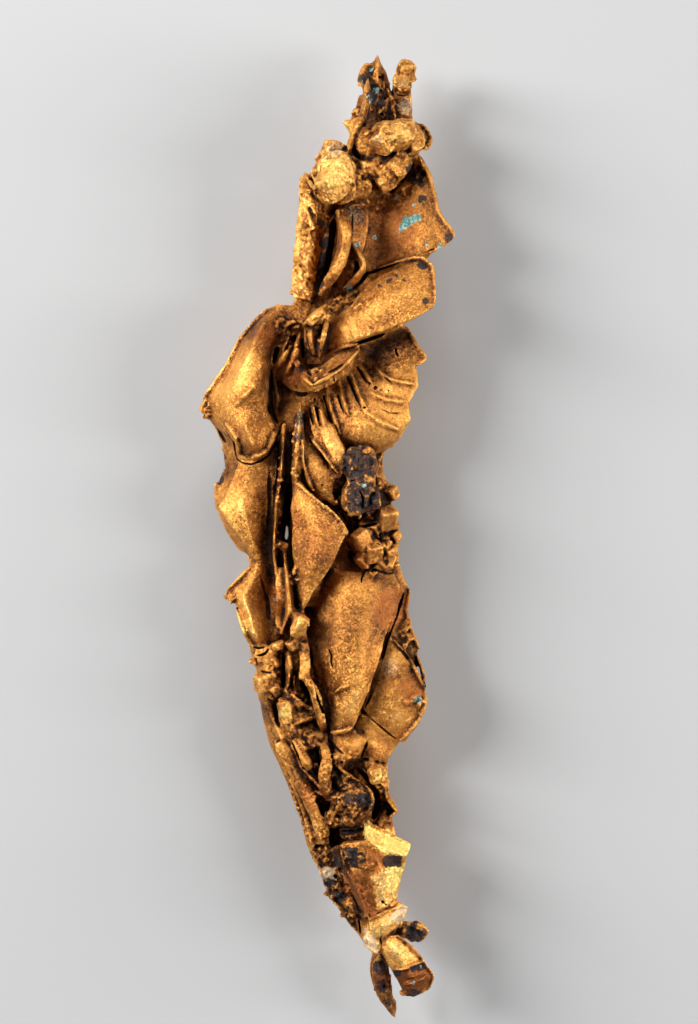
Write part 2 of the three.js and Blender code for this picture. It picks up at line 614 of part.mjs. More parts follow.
const keel = () => [
  leaf(
    [
      [[7.3, 40.6, 6], [8.2, 40.2, 7.8], [10.5, 39.7, 7.6]],
      [[7.8, 38.2, 6], [8.9, 37.8, 7.4], [10.6, 37.2, 6.8]],
      [[8.9, 34.9, 6], [10.3, 34.6, 8], [11.6, 34.9, 7.4]],
      [[10.3, 31.8, 6], [11.6, 31.5, 8], [12.9, 31.8, 7.4]],
      [[12.1, 28, 6], [13.3, 28, 8], [14.3, 28.6, 7.4]],
      [[13.4, 24.9, 6], [14.8, 24.9, 8], [15.8, 25.3, 7.4]],
      [[13.9, 21.9, 6], [15.3, 21.8, 7.7], [16.3, 22, 7.2]],
    ],
    { thick: 2.2 },
  ),
  rib([[7.4, 40.4, 5.2], [8.8, 34.8, 5], [11, 29.6, 5], [12.9, 25.4, 5], [13.7, 21.8, 5], [14.4, 19.4, 5]], 1.1, 2.2),
  rib([[11.4, 35, 7.6], [12.7, 31.6, 7.8], [14.8, 29.4, 8.2], [16, 27.8, 7.8]], 0.8, 2.4),
  rib([[12.2, 35, 7.6], [13.8, 32, 8.2], [14.6, 30.2, 7.6]], 1.2, 2.4),
  rib([[15.2, 34, 8], [15.9, 31, 8.6], [15.5, 28, 8.2]], 1.1, 3),
];

const tailMargin = () => [
  leaf(
    [
      [[13.9, 21.2, 5], [15.2, 21.2, 6.8], [16.6, 21.6, 7]],
      [[15, 17.6, 5], [16.3, 18, 6.9], [18, 18.7, 7]],
      [[16.6, 14.5, 5], [17.9, 15.1, 6.9], [19.6, 16, 7.2]],
      [[18.6, 11.9, 5.2], [19.5, 12.5, 6.9], [20.8, 13.4, 7.4]],
      [[20.1, 9.6, 5.6], [20.5, 10, 6.6], [21.2, 10.8, 7.2]],
    ],
    { thick: 2.2 },
  ),
];

const lowerCluster = () => [
  leaf(
    [
      [[16.6, 31.3, 8], [18, 31.2, 8.6], [19, 30.7, 8.8]],
      [[16.3, 29.3, 8], [18.6, 29.3, 9.6], [20.9, 29.1, 9.4]],
      [[16, 27.6, 8], [18.6, 27.6, 9.8], [21.8, 27.4, 9.2]],
      [[16.6, 26, 8], [18.9, 26.1, 9.4], [21.3, 25.7, 8.6]],
      [[17.2, 24.8, 7.8], [18.9, 24.7, 8.6], [20.4, 24.9, 8.2]],
    ],
    { thick: 2 },
  ),
  nodule([17.4, 32.6, 7.8], [1.3, 1.9, 1.5]),
  nodule([16.8, 25.2, 7.4], [1.6, 1.5, 1.4], 20),
  nodule([18.7, 23.4, 7.4], [2, 0.9, 1.3]),
  leaf(
    [
      [[20.2, 32.2, 7], [21.9, 32, 7.8], [22.9, 31.7, 7.2]],
      [[20.8, 29.9, 7.4], [22.1, 30, 8.6], [23.3, 30, 7.4]],
      [[21, 28.3, 7.2], [22.4, 28.2, 8], [23.1, 28.5, 7.2]],
      [[21.4, 26.8, 6.8], [22.9, 26.7, 7.2], [24.1, 26.5, 7]],
      [[21.2, 24.6, 7], [22.6, 24.2, 7.2], [23.7, 24.8, 6.8]],
    ],
    { thick: 1.8 },
  ),
  crystal([22.1, 30.4, 8], [1, 1.3, 1.2], 15),
  rib([[22.9, 28.8, 7.4], [24, 27, 7.8], [24.4, 26.1, 7.8], [23.4, 25.3, 7.4]], 0.6, 1.4),
];

const block = () => [
  leaf(
    [
      [[20.3, 23.4, 9.4], [20.6, 24.6, 8.8]],
      [[23, 22, 11], [23.2, 23.7, 9.8]],
      [[25.4, 21, 11], [26.2, 22.5, 10]],
    ],
    { thick: 2 },
  ),
  leaf(
    [
      [[17.4, 22.4, 9.8], [20.5, 22.9, 10.2], [23, 22, 11.2], [25.4, 21.1, 11]],
      [[18.1, 19.5, 9.8], [20.5, 19.3, 10.3], [23, 19.3, 10.8], [25.3, 19, 10]],
      [[19.3, 16.8, 9.6], [20.9, 16.5, 10], [22.4, 16.5, 10.4], [24.5, 16.3, 9.6]],
      [[20.6, 13.4, 9.4], [21.4, 13.4, 9.6], [22.4, 13.7, 9.8], [24.1, 15.4, 9.5]],
    ],
    { thick: 3 },
  ),
  leaf(
    [
      [[16, 21.5, 8], [17.6, 22.4, 9.8]],
      [[16.9, 19, 8], [18.5, 19.4, 9.8]],
      [[18.4, 16.1, 7.6], [19.7, 16.5, 9.7]],
      [[20.1, 12.9, 7.4], [21, 13.5, 9.4]],
    ],
    { thick: 1.8 },
  ),
  leaf(
    [
      [[20.8, 13.4, 9.6], [22.4, 13.8, 10.1], [24.7, 15.4, 9.6]],
      [[20.9, 12, 9.6], [22.9, 12.5, 10.3], [25.6, 14.5, 9.6]],
      [[21.3, 11, 9.4], [22.9, 11.3, 10], [24.9, 12.7, 9.2]],
      [[22, 10.4, 9], [23.1, 10.6, 9.2], [24.2, 11.4, 9]],
    ],
    { thick: 2.2 },
  ),
  leaf(
    [
      [[20.6, 11.8, 8.8], [22, 11.4, 9.4]],
      [[20.4, 10.6, 8.8], [22.2, 10, 9.4]],
      [[20.2, 9.6, 8.2], [22.3, 8.7, 8.8]],
    ],
    { thick: 2 },
  ),
];

const tooth = () => [
  leaf(
    [
      [[22.4, 11.2, 9.4], [23.9, 11.3, 9.8], [25.1, 10.6, 9.2]],
      [[22.3, 9.3, 9], [24.4, 9.3, 10.4], [26.8, 9, 9.2]],
      [[23.3, 7.3, 8.8], [25.1, 7.5, 10], [27.6, 7.8, 9]],
      [[24.4, 5.5, 8], [26.4, 5.7, 9.6], [28.8, 6, 8.4]],
      [[24.9, 4.3, 7.6], [26.4, 4.2, 9], [28.4, 4.2, 7.8]],
      [[25.5, 3.3, 7], [26.4, 3.1, 7.6], [27.4, 3.5, 7]],
    ],
    { thick: 2.6 },
  ),
  nodule([26.6, 11.2, 7.2], [1.8, 1.3, 1.5], 18),
  nodule([25, 11.6, 7.8], [1.5, 1.2, 1.3], 0),
  leaf(
    [
      [[21.3, 9.8, 6.6], [22.4, 9.8, 8], [23.2, 9.6, 7]],
      [[21.1, 6.5, 6], [22.3, 6.4, 7.8], [23.4, 6.1, 6.6]],
      [[21.5, 4.3, 5.5], [22.6, 4.3, 7.2], [23.8, 4, 6]],
      [[22.4, 2.4, 5.2], [23.1, 2.4, 6.4], [24.1, 2.1, 5.6]],
      [[24, 0, 5]],
    ],
    { thick: 1.8 },
  ),
];

// ---------------------------------------------------------------- the back

const back = () => [
  leaf(
    [
      [[19.6, 114.4, 5.2], [22, 114.6, 3.4], [25, 114, 5.4]],
      [[17.6, 106, 5.2], [22.4, 106.6, 2.2], [27.2, 107.4, 5.4]],
      [[14.6, 100, 5], [20.4, 98.6, 0.6], [27.6, 101, 5.6]],
      [[14.8, 95, 5], [19.6, 93, 1.4], [26.4, 96.4, 6]],
    ],
    { thick: 2.2, facesDown: true },
  ),
  leaf(
    [
      [[12.9, 101.4, 5.4], [17, 101, 3], [21, 98, 2.4]],
      [[12.8, 94, 5.4], [18, 92.4, -0.5], [27.4, 94, 6.8]],
      [[12.9, 88.6, 5.6], [18, 87.6, 2.2], [25.6, 89, 6.8]],
    ],
    { thick: 2.2, facesDown: true },
  ),
  leaf(
    [
      [[9, 87.6, 6], [13, 88.2, 3], [18, 89, 3.4]],
      [[4.4, 81.8, 5.8], [10.4, 82.6, 1.2], [17, 83, 2.6]],
      [[1, 75.8, 5.2], [8.6, 76, -0.5], [15.6, 76.6, 3]],
      [[4.2, 70.4, 5.4], [10, 69, 2.2], [13.6, 70, 3.4]],
    ],
    { thick: 2, facesDown: true },
  ),
  leaf(
    [
      [[14, 88.6, 3.2], [20, 87.6, 2.6], [25.4, 86, 6.6]],
      [[13.4, 80, 3], [21.4, 79.6, -0.5], [27.2, 79.4, 7]],
      [[14.6, 71.4, 3.4], [20, 69.8, 1.6], [24, 70.6, 6.4]],
    ],
    { thick: 2, facesDown: true },
  ),
  leaf(
    [
      [[5, 70.6, 5.6], [12, 70.6, 2.6], [21, 71.4, 3.4]],
      [[2.6, 64.8, 5.6], [12.6, 63, -0.5], [23.4, 64.8, 6]],
      [[6.6, 56, 6], [13, 54.8, 1.6], [23.2, 56.4, 5.8]],
    ],
    { thick: 2, facesDown: true },
  ),
  leaf(
    [
      [[4.4, 52.4, 6], [12, 55.6, 2], [25, 54, 5.8]],
      [[6.2, 47, 5.8], [15.6, 47.4, -0.5], [25.8, 47.6, 5.8]],
      [[8.2, 39, 5.2], [15, 38.6, 1.2], [23.4, 41.2, 5]],
    ],
    { thick: 2.2, facesDown: true },
  ),
  leaf(
    [
      [[14, 44.6, 3.4], [20, 45.4, 2.2], [26.6, 44.4, 6]],
      [[12.4, 38.4, 3], [20.4, 38.6, -0.5], [27.4, 39.6, 6.4]],
      [[14.4, 32.4, 3.4], [19, 31.6, 2.2], [23.4, 33, 6]],
    ],
    { thick: 1.8, facesDown: true },
  ),
  leaf(
    [
      [[9, 37, 5], [15, 36.4, 2.2], [21, 34.4, 2.6]],
      [[11.6, 29, 4.6], [17, 28.8, -0.5], [23.4, 29, 6]],
      [[14.4, 20.6, 4.2], [19, 19.6, 1.2], [24.6, 20.6, 7]],
      [[18.4, 12, 4.6], [21.4, 11, 3.2], [24.4, 12.4, 6.8]],
    ],
    { thick: 2.2, facesDown: true },
  ),
];

// ---------------------------------------------------------------- putting it together

const regions = [
  backing, crown, brow, shoulderNodules, shoulderPlates, rightWing, wedge, boat, fan, leftWing, leftMiddleWing,
  leftLowerWing, seam, middleLeaves, darkLumps, greatLeaf, rightLeaves, sideCrystals, keel, tailMargin,
  lowerCluster, block, tooth, back,
];

// The slit that shows through beside the seam.
const slit = rib([[11, 68.2, 5], [10.9, 64, 5], [10.7, 60, 5], [10.4, 56.6, 5]], 0.9, 14);

// Everything below the resting plane, which the lowest leaves of the back meet in small flat faces.
const below = solidFrom(new THREE.BoxGeometry(300, 300, 20).translate(0, 0, -10));

// The joined copper. Voids that no opening reaches are filled, because only the outer skin is kept.
function nugget() {
  const joined = regions.flatMap((region) => region()).reduce((whole, piece) => whole.add(piece));
  const skins = joined.subtract(slit).subtract(below).decompose();
  return skins.reduce((largest, skin) => (skin.volume() > largest.volume() ? skin : largest));
}

function meshOf(solid, name, material) {
  const { numProp, numVert, vertProperties, triVerts } = solid.getMesh();
  const places = new Float32Array(numVert * 3);
  for (let i = 0; i < numVert; i++) places.set(vertProperties.subarray(i * numProp, i * numProp + 3), i * 3);
  const geometry = new THREE.BufferGeometry()
    .setAttribute("position", new THREE.BufferAttribute(places, 3))
    .setIndex(new THREE.BufferAttribute(triVerts, 1));
  geometry.computeVertexNormals();
  const mesh = new THREE.Mesh(geometry, material);
  mesh.name = name;
  return mesh;
}

const copper = new THREE.MeshStandardMaterial({ color: 0xb0753a, roughness: 0.5, metalness: 0.9 });
const solid = nugget();
const { min, max } = solid.boundingBox();
const mesh = meshOf(solid, "copper_nugget", copper);
mesh.position.set(-(min[0] + max[0]) / 2, -(min[1] + max[1]) / 2, 0);

const part = new THREE.Group();
part.add(mesh);
export default part;
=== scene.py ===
# %% [markdown]
# # A nugget of native copper
# Native copper grows inside cracks in rock, as thin leaves, ribs, rounded nodules and small blocky crystals
# that run into each other. This specimen is one such growth, about 12 cm long, and it lies on its back. The
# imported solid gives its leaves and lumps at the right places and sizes. The lesson grows the small things
# onto a copy of it, cuts its crevices, fuses all of it into one skin, and then roughens and colours that
# skin.

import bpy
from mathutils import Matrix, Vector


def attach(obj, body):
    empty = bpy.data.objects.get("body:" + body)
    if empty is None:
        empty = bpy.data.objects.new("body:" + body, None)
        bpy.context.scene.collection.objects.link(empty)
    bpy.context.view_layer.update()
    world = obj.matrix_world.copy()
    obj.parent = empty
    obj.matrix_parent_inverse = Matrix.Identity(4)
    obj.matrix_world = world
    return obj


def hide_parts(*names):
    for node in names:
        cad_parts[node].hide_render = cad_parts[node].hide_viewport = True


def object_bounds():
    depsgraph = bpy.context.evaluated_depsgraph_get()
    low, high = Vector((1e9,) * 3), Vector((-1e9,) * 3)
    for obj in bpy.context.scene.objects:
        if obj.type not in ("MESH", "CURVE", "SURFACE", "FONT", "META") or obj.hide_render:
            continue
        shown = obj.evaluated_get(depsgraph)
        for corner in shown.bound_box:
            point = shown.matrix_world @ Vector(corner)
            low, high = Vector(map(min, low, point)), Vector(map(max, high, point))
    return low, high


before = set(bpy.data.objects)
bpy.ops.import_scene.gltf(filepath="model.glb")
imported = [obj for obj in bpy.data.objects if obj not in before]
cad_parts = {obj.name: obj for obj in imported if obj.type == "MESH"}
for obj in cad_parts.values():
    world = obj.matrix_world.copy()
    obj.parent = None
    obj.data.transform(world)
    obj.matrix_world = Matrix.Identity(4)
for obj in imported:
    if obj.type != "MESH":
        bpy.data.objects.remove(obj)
cad_low, cad_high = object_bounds()
print("the solid's box in mm:", [round(v * 1000, 1) for v in (*cad_low, *cad_high)])

# %% [markdown]
# ## Places
# Every place on the piece is given in millimetres, x from its left edge and y up from its lower tip. Its
# height isn't typed in: a ray is dropped on the solid there, so that each small thing starts on the real
# surface. Near the edge of a leaf the ray could miss it, so the highest of a few close places is taken.

# %% Find the surface under a place
import bpy
from mathutils import Vector
from mathutils.bvhtree import BVHTree

MM = 0.001
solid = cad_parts["copper_nugget"]
surface = BVHTree.FromObject(solid, bpy.context.evaluated_depsgraph_get())


def on_surface(x, y, lift=0.0, reach=0.0):
    hits = []
    for dx, dy in [(0, 0), (reach, 0), (-reach, 0), (0, reach), (0, -reach)] if reach else [(0, 0)]:
        above = Vector((cad_low.x + (x + dx) * MM, cad_low.y + (y + dy) * MM, cad_high.z + MM))
        hit = surface.ray_cast(above, Vector((0, 0, -1)))[0]
        if hit:
            hits.append(hit.z)
    return Vector((cad_low.x + x * MM, cad_low.y + y * MM, max(hits) + lift * MM)) if hits else None


print("height at the great leaf, mm:", round(on_surface(19, 48).z * 1000, 1))

# %% [markdown]
# ## Working in edit mode
# An operator acts on whatever is selected, so each step starts by selecting just the object that it is for.
# The small shapes are added in edit mode, one after another, into two meshes: growths, which are added to
# the copper, and crevices, which are cut out of it.

# %% Selecting and editing
from contextlib import contextmanager


def pick(thing):
    bpy.ops.object.select_all(action="DESELECT")
    thing.select_set(True)
    bpy.context.view_layer.objects.active = thing


@contextmanager
def editing(thing):
    pick(thing)
    bpy.ops.object.mode_set(mode="EDIT")
    yield
    bpy.ops.object.mode_set(mode="OBJECT")


def empty_mesh(name):
    thing = bpy.data.objects.new(name, bpy.data.meshes.new(name))
    bpy.context.scene.collection.objects.link(thing)
    return thing


def apply_modifier(thing, kind, **settings):
    modifier = thing.modifiers.new(kind.lower(), kind)
    for setting, value in settings.items():
        setattr(modifier, setting, value)
    pick(thing)
    bpy.ops.object.modifier_apply(modifier=modifier.name)


def tell(part):
    print(part + ":", len(growths.data.polygons), "faces to add,", len(crevices.data.polygons), "to cut")


growths = empty_mesh("growths")
crevices = empty_mesh("crevices")
tell("before the first step")

# %% [markdown]
# ## A rib
# Ribs, leaf rims and grooves are all long and thin, and follow a path. As by hand, a small disc is added at
# one end and extruded from point to point, turned where the path bends, and narrowed at the far end. Four
# sides give a sharp ridge and six a rounder one. The same shape, kept for cutting, makes a groove or a
# crack. So that a few places make a curve, a point is added halfway between each two, leaning the way their
# neighbours bend.

# %% Extrude a disc along a path
from math import atan2, pi, radians


def rounded(path):
    if len(path) < 3:
        return path
    ends = [path[0], *path, path[-1]]
    curve = [path[0]]
    for before, here, there, after in zip(ends, ends[1:], ends[2:], ends[3:]):
        halfway = [(9 * (b + c) - a - d) / 16 for a, b, c, d in zip(before, here, there, after)]
        curve += [halfway, there]
    return curve


def rib(path, wide, lift=0.0, tall=1.0, sides=6, end=0.4, reach=0.3):
    points = [p for p in (on_surface(x, y, lift, reach) for x, y in rounded(path)) if p]
    if len(points) < 2:
        return
    steps = [there - here for here, there in zip(points, points[1:])]
    headings = [atan2(step.y, step.x) for step in steps]
    bpy.ops.mesh.select_all(action="DESELECT")
    bpy.ops.mesh.primitive_circle_add(
        vertices=sides,
        radius=wide * MM * 0.5 * end,
        fill_type="NGON",
        location=points[0],
        rotation=(pi / 2, 0, headings[0] + pi / 2),
    )
    for n, step in enumerate(steps):
        there = points[n + 1]
        bpy.ops.mesh.extrude_region_move(TRANSFORM_OT_translate={"value": step})
        size = (1 / end if n == 0 else 1) * (end if n == len(steps) - 1 else 1)
        bpy.ops.transform.resize(value=(size, size, size * (tall if n == 0 else 1)), center_override=there)
        if n < len(steps) - 1:
            bend = (headings[n + 1] - headings[n] + pi) % (2 * pi) - pi
            before = (headings[n] - headings[n - 1] + pi) % (2 * pi) - pi if n else 0
            bpy.ops.transform.rotate(value=-(bend + before) / 2, orient_axis="Z", center_override=there)


def groove(path, wide, deep, lift=0.2):
    rib(path, wide, lift=lift, tall=2 * deep / wide, sides=6, end=0.5, reach=0)


print("three places make a curve of", len(rounded([(0, 0), (1, 1), (2, 0)])), "points")

# %% [markdown]
# ## Nodules, crystals and flakes
# A nodule is a ball, stretched and made lumpy. A crystal is a cube with its corners cut off, which is how
# copper likes to grow, leaning so that several faces show. A flake is the same cube made long and thin.

# %% Add a ball or a cube and shape it
def nodule(x, y, size, lift=0.0, stretch=(1, 1, 1), turn=0, lumps=0.12):
    centre = on_surface(x, y, lift, 0.5)
    bpy.ops.mesh.select_all(action="DESELECT")
    bpy.ops.mesh.primitive_ico_sphere_add(subdivisions=2, radius=size * MM / 2, location=centre)
    bpy.ops.transform.resize(value=stretch, center_override=centre)
    bpy.ops.transform.rotate(value=-radians(turn), orient_axis="Z", center_override=centre)
    bpy.ops.transform.vertex_random(offset=lumps * size * MM / 2, seed=int(x * 31 + y * 17) % 97)


def crystal(x, y, size, turn=0, lean=(25, 20), lift=0.0, stretch=(1, 1, 1), corner=0.2):
    centre = on_surface(x, y, lift)
    if centre is None:
        return
    bpy.ops.mesh.select_all(action="DESELECT")
    angles = radians(lean[0]), radians(lean[1]), radians(turn)
    bpy.ops.mesh.primitive_cube_add(size=size * MM, location=centre, rotation=angles, scale=stretch)
    bpy.ops.mesh.bevel(offset=corner * size * MM, affect="VERTICES")


def pit(x, y, size, deep=1.0, lift=0.0):
    nodule(x, y, size, lift, (1, 1, 2 * deep / size), lumps=0.2)


print("shapes ready: nodule, crystal, pit")

# %% [markdown]
# ## Crusts
# Where the copper is rough, dozens of small crystals sit side by side. Their places and turns come from a
# seeded generator, so that the piece is the same each time it is made. Each crystal is stretched its own
# way, and only some keep sharp corners.

# %% Scatter crystals in a round patch
from math import cos, sin
from random import Random


def crust(x, y, radius, count, size, stretch=(1, 1)):
    chance = Random(int(x * 101 + y * 13))
    for _ in range(count):
        away, angle = radius * chance.random() ** 0.5, chance.uniform(0, 2 * pi)
        crystal(
            x + away * cos(angle) * stretch[0],
            y + away * sin(angle) * stretch[1],
            size * chance.uniform(0.6, 1.3),
            turn=chance.uniform(0, 90),
            lean=(chance.uniform(-40, 40), chance.uniform(-40, 40)),
            lift=chance.uniform(-0.1, 0.15),
            stretch=(chance.uniform(1, 2), chance.uniform(0.5, 0.9), 1),
            corner=chance.uniform(0.05, 0.2),
        )


print("crusts ready")

# %% [markdown]
# ## The crown
# The upper end is a spire with a rounded lobe on its left, a thin raised rib that runs down from it, and a
# stubby nub on a smooth stalk at its right. Between them the metal is eaten into small dark holes.

# %% Grow and cut the crown
with editing(growths):
    rib([(22.2, 119.4), (22.1, 117.6), (22, 116), (22.2, 114.6)], 1, -0.2, sides=4, end=0.15)
    rib([(21, 118), (20.4, 117.2), (20, 115.9), (20.3, 114.8)], 1.2)
    rib([(20.8, 115.8), (20.6, 112.9), (20.2, 110.8), (19.5, 109.3), (18.8, 107.8), (18.4, 106.4)], 0.8,
        0.25, 1.4, 4)
    rib([(23.2, 114.8), (23.7, 112.8), (24.2, 110.8)], 0.7, 0.1, sides=4)
    nodule(25.4, 117.2, 2.3, 0.1, (1, 0.9, 0.9))
    nodule(24.8, 115.4, 2.2, 0.25, (1, 0.9, 0.8), 20)
    crystal(26, 115.9, 1.2, 30)
    crust(22.6, 112.2, 1.4, 22, 0.55)
    crust(21.9, 115.6, 1, 12, 0.5, (1, 1.6))
    crust(20.3, 116.2, 0.7, 8, 0.5)
    crust(19.2, 111.8, 0.6, 5, 0.5)
with editing(crevices):
    groove([(20.6, 110.6), (20.1, 109.4), (19.4, 108), (18.9, 106.4)], 0.45, 1)
    groove([(23.9, 116.9), (23.7, 115.2), (23.9, 113.8)], 0.5, 1.4)
    groove([(24, 114.1), (25.2, 113.9), (26.4, 114.4)], 0.35, 0.8)
    pit(25.6, 116.8, 1, 0.7)
    for x, y, size in [
        (21.4, 114.9, 0.8), (22.4, 114.3, 0.7), (21.2, 113.3, 0.6), (22.9, 113.4, 0.5), (22.2, 116, 0.5),
    ]:
        pit(x, y, size, 0.6)
    groove([(21.8, 110.5), (22.6, 110.3), (23.4, 110.1)], 0.35, 0.9)
    pit(22.5, 111.4, 0.5, 0.6)
tell("crown")

# %% [markdown]
# ## The head
# Below the crown sits a lump like a clenched fist. It is smooth on the left and grainy on the right, and a
# black crevice parts it from the nodules under it. A deep hollow opens to the right of them.

# %% Grow and cut the head
with editing(growths):
    nodule(23.8, 108.5, 4.2, -1.7, (1.4, 0.85, 0.9), -8, 0.1)
    nodule(20.8, 107.8, 3.4, -0.9, (1, 1.15, 0.9), 10, 0.1)
    nodule(23, 104.4, 4.2, -1.8, (1.25, 0.95, 0.9), 0, 0.1)
    for x, y, size, turn in [
        (24.9, 108.7, 3, 15), (26.3, 107.9, 2.2, 40), (22.7, 108, 2.8, 62), (21, 107.3, 2.4, 30),
        (22.1, 105.2, 2.8, 22), (24.4, 105, 2.6, 55), (22.9, 103, 2.1, 35), (20.8, 104.6, 2.1, 10),
    ]:
        crystal(x, y, size, turn, (20 + turn % 11, 34 - turn % 19), -size * 0.42, (1.1, 1, 0.9), 0.3)
    crust(25, 108.6, 1.8, 14, 0.7, (1.3, 0.8))
    crust(23.1, 104, 1.9, 14, 0.7, (1.3, 1))
    rib([(27.4, 110.6), (28.3, 109.4), (28.5, 108), (27.6, 107)], 0.5, 0.1)
with editing(crevices):
    for x, y, size in [
        (26.2, 105.4, 1.1), (26.9, 105, 1.2), (27.6, 104.2, 1.1), (27.2, 103.4, 0.9), (26.4, 104.2, 1),
    ]:
        pit(x, y, size, 0.8)
tell("head")

# %% [markdown]
# ## The boulder and the slab
# A rounded boulder leans against the head. Under it hangs a slab whose face is covered with small slanting
# blades, all grown the same way, next to a dark valley and a smooth ribbon that curls round it.

# %% Grow and cut the left shoulder
with editing(growths):
    nodule(17, 103.8, 4.6, -2, (1.05, 1.3, 0.9), 0, 0.1)
    for x, y, size, turn in [
        (16.9, 105.4, 3.4, 20), (16.5, 102.3, 3.3, 50), (18.4, 104.4, 2.7, 66), (15.4, 103.9, 2.2, 35),
        (19.9, 102.2, 2, 12), (17.9, 101.4, 2.2, 28),
    ]:
        crystal(x, y, size, turn, (18 + turn % 13, 32 - turn % 17), -size * 0.4, (1.05, 1, 0.9), 0.33)
    crust(16.6, 105.8, 1.9, 12, 0.9)
    crust(19.3, 103.4, 1.2, 8, 0.7)
    rib([(13.4, 103.6), (13.5, 100), (13.2, 96), (12.9, 92), (12.7, 88.8)], 2.6, 0, 0.35, 8, 0.8, 0.6)
    chance = Random(6)
    for n in range(150):
        y = 89.4 + 14.2 * n / 150
        x = 12.6 + (y - 88.6) * 0.05 + chance.uniform(-1.1, 0.9)
        long = chance.uniform(0.9, 2)
        rib([(x, y + long / 2), (x + 0.36 * long, y - long / 2)], chance.uniform(0.32, 0.5), 0.5, 1.8, 4,
            0.5, 0.5)
    rib([(17.9, 99.6), (18.2, 96.6), (17.9, 93.9), (16.8, 91.7), (15, 89.6)], 1.3, 0.3, 1.2, 8)
    rib([(18.7, 95.5), (19.6, 94.2), (20.3, 92.7), (19.4, 91.4), (17.6, 89.9)], 0.5, 0.3, 2, 4)
    crust(12.2, 99, 0.5, 14, 0.5, (0.6, 6))
    crust(12, 92, 0.5, 14, 0.6, (0.6, 5))
with editing(crevices):
    groove([(16.6, 99), (16.3, 96), (15.8, 93), (15, 90.4)], 0.9, 2)
    groove([(19.1, 94), (19.5, 92.8), (19, 91.6)], 0.8, 1.2)
    groove([(20.9, 92.4), (20, 91), (18.6, 89.8)], 0.5, 1.2)
    groove([(19, 99.6), (18.8, 97), (18.7, 95.6)], 0.3, 0.8)
tell("left shoulder")

# %% [markdown]
# ## The upper wing and the tongue
# Two broad leaves reach out to the right. The wing is folded where it meets the mass and has a raised right
# rim. The tongue below it is nearly flat, with a crisp lower edge that stands clear of the fan.

# %% Grow and cut the wing and the tongue
with editing(growths):
    rib([(26.9, 106.6), (28.3, 104), (29.1, 101.4), (29.4, 99.6), (30.2, 98.2), (31.5, 96.6)], 0.4, 0, 1, 6)
    rib([(21.4, 92.3), (24, 93.2), (26.4, 93.7), (28.2, 93.3), (28.8, 91.6), (29, 87.8)], 0.4, 0.05)
    crust(19.3, 88.6, 1.2, 12, 0.6)
    crust(17.4, 88.2, 1, 10, 0.6)
with editing(crevices):
    groove([(28.2, 100.2), (28.9, 98.4), (29.8, 97), (30.2, 96)], 0.3, 0.25)
    groove([(26.6, 94), (28, 94.5), (29.2, 95)], 0.4, 0.5)
    groove([(20.6, 92), (22.6, 92.6), (25, 93.3)], 0.4, 0.8)
    for x, y, size in [
        (24.3, 91.4, 0.5), (23.5, 90.8, 0.5), (25.2, 90.9, 0.4), (22.2, 90.3, 0.4), (24.4, 90, 0.4),
    ]:
        pit(x, y, size, 0.2)
    groove([(16.6, 82.2), (19, 83.2), (22, 84.2), (26, 85.8)], 0.5, 1.4, -0.5)
tell("wing and tongue")

# %% [markdown]
# ## The collar
# Where the leaves meet, a curled leaf stands up like a collar. Short columns and bars lean into the dark
# cavities behind it.

# %% Grow and cut the collar
with editing(growths):
    rib([(13.6, 85.6), (14.5, 86.5), (15.4, 87.2)], 0.9, 0.3, 0.8, 4, 0.9)
    rib([(15.8, 85.8), (15.5, 84.2), (15, 82.3)], 0.7, 0.4, 1.4, 4, 0.7)
    rib([(13.9, 85), (14.1, 83.4), (14.4, 81.8)], 1.1, 0, 1.2, 6, 0.8)
    rib([(12.7, 79.3), (13.4, 78.6), (14.1, 78)], 0.6, 0.3, 1.2, 4, 0.8)
    rib([(14.1, 78), (15.8, 78.9), (17.6, 80.1), (19, 81.6), (19.9, 82.6)], 0.5, 0.25, 1.2, 4)
    rib([(15.4, 81.6), (16.8, 82.4), (18.2, 82.9), (19.6, 83.2)], 0.5, 0.3, 1, 4)
    rib([(9.5, 79.8), (10.4, 81.4), (11.4, 83)], 0.8, 0.5, 1.2, 4, 0.8)
    rib([(11, 79.6), (11.6, 81), (12.2, 82.6)], 0.7, 0.3, 1.4, 4, 0.8)
    rib([(10.4, 79), (11.8, 81), (12.6, 79.4)], 0.4, 0.2, 1, 4)
    crystal(14.5, 86.4, 1.1, 42, (12, 14), 0.4, (2.2, 0.8, 0.7), 0.1)
    crust(14.6, 83.9, 1.1, 14, 0.5, (0.9, 1.6))
    crust(10.8, 85.3, 1.3, 16, 0.6)
    crust(14.6, 79.4, 0.7, 5, 0.5)
with editing(crevices):
    groove([(15.7, 79.5), (16.8, 80), (17.9, 80.8)], 0.35, 0.7)
    pit(12.9, 80.4, 1.1, 1.2)
    groove([(13.1, 81.2), (13.4, 80), (14, 79.2)], 0.5, 1.2)
    groove([(15.2, 82.4), (15.5, 81.4)], 0.6, 1.2)
    groove([(12.8, 84.2), (12.8, 82.8), (12.9, 81.6)], 0.6, 1.6)
    groove([(10, 84.6), (9.6, 82.8), (9.2, 81)], 0.8, 1.6)
    groove([(11.9, 84.6), (11.2, 83.4), (10.6, 82)], 0.7, 1.6)
    pit(11.9, 77.9, 0.7, 0.7)
    groove([(10.4, 78.2), (11.6, 77.3), (13.2, 77.2), (14.4, 77.4)], 0.5, 1)
tell("collar")

# %% [markdown]
# ## The fan
# The leaf under the tongue spreads like a fan. Its ribs run out from the collar and flatten towards a
# scalloped rim, with deep slots between them near the collar and a few holes eaten through.

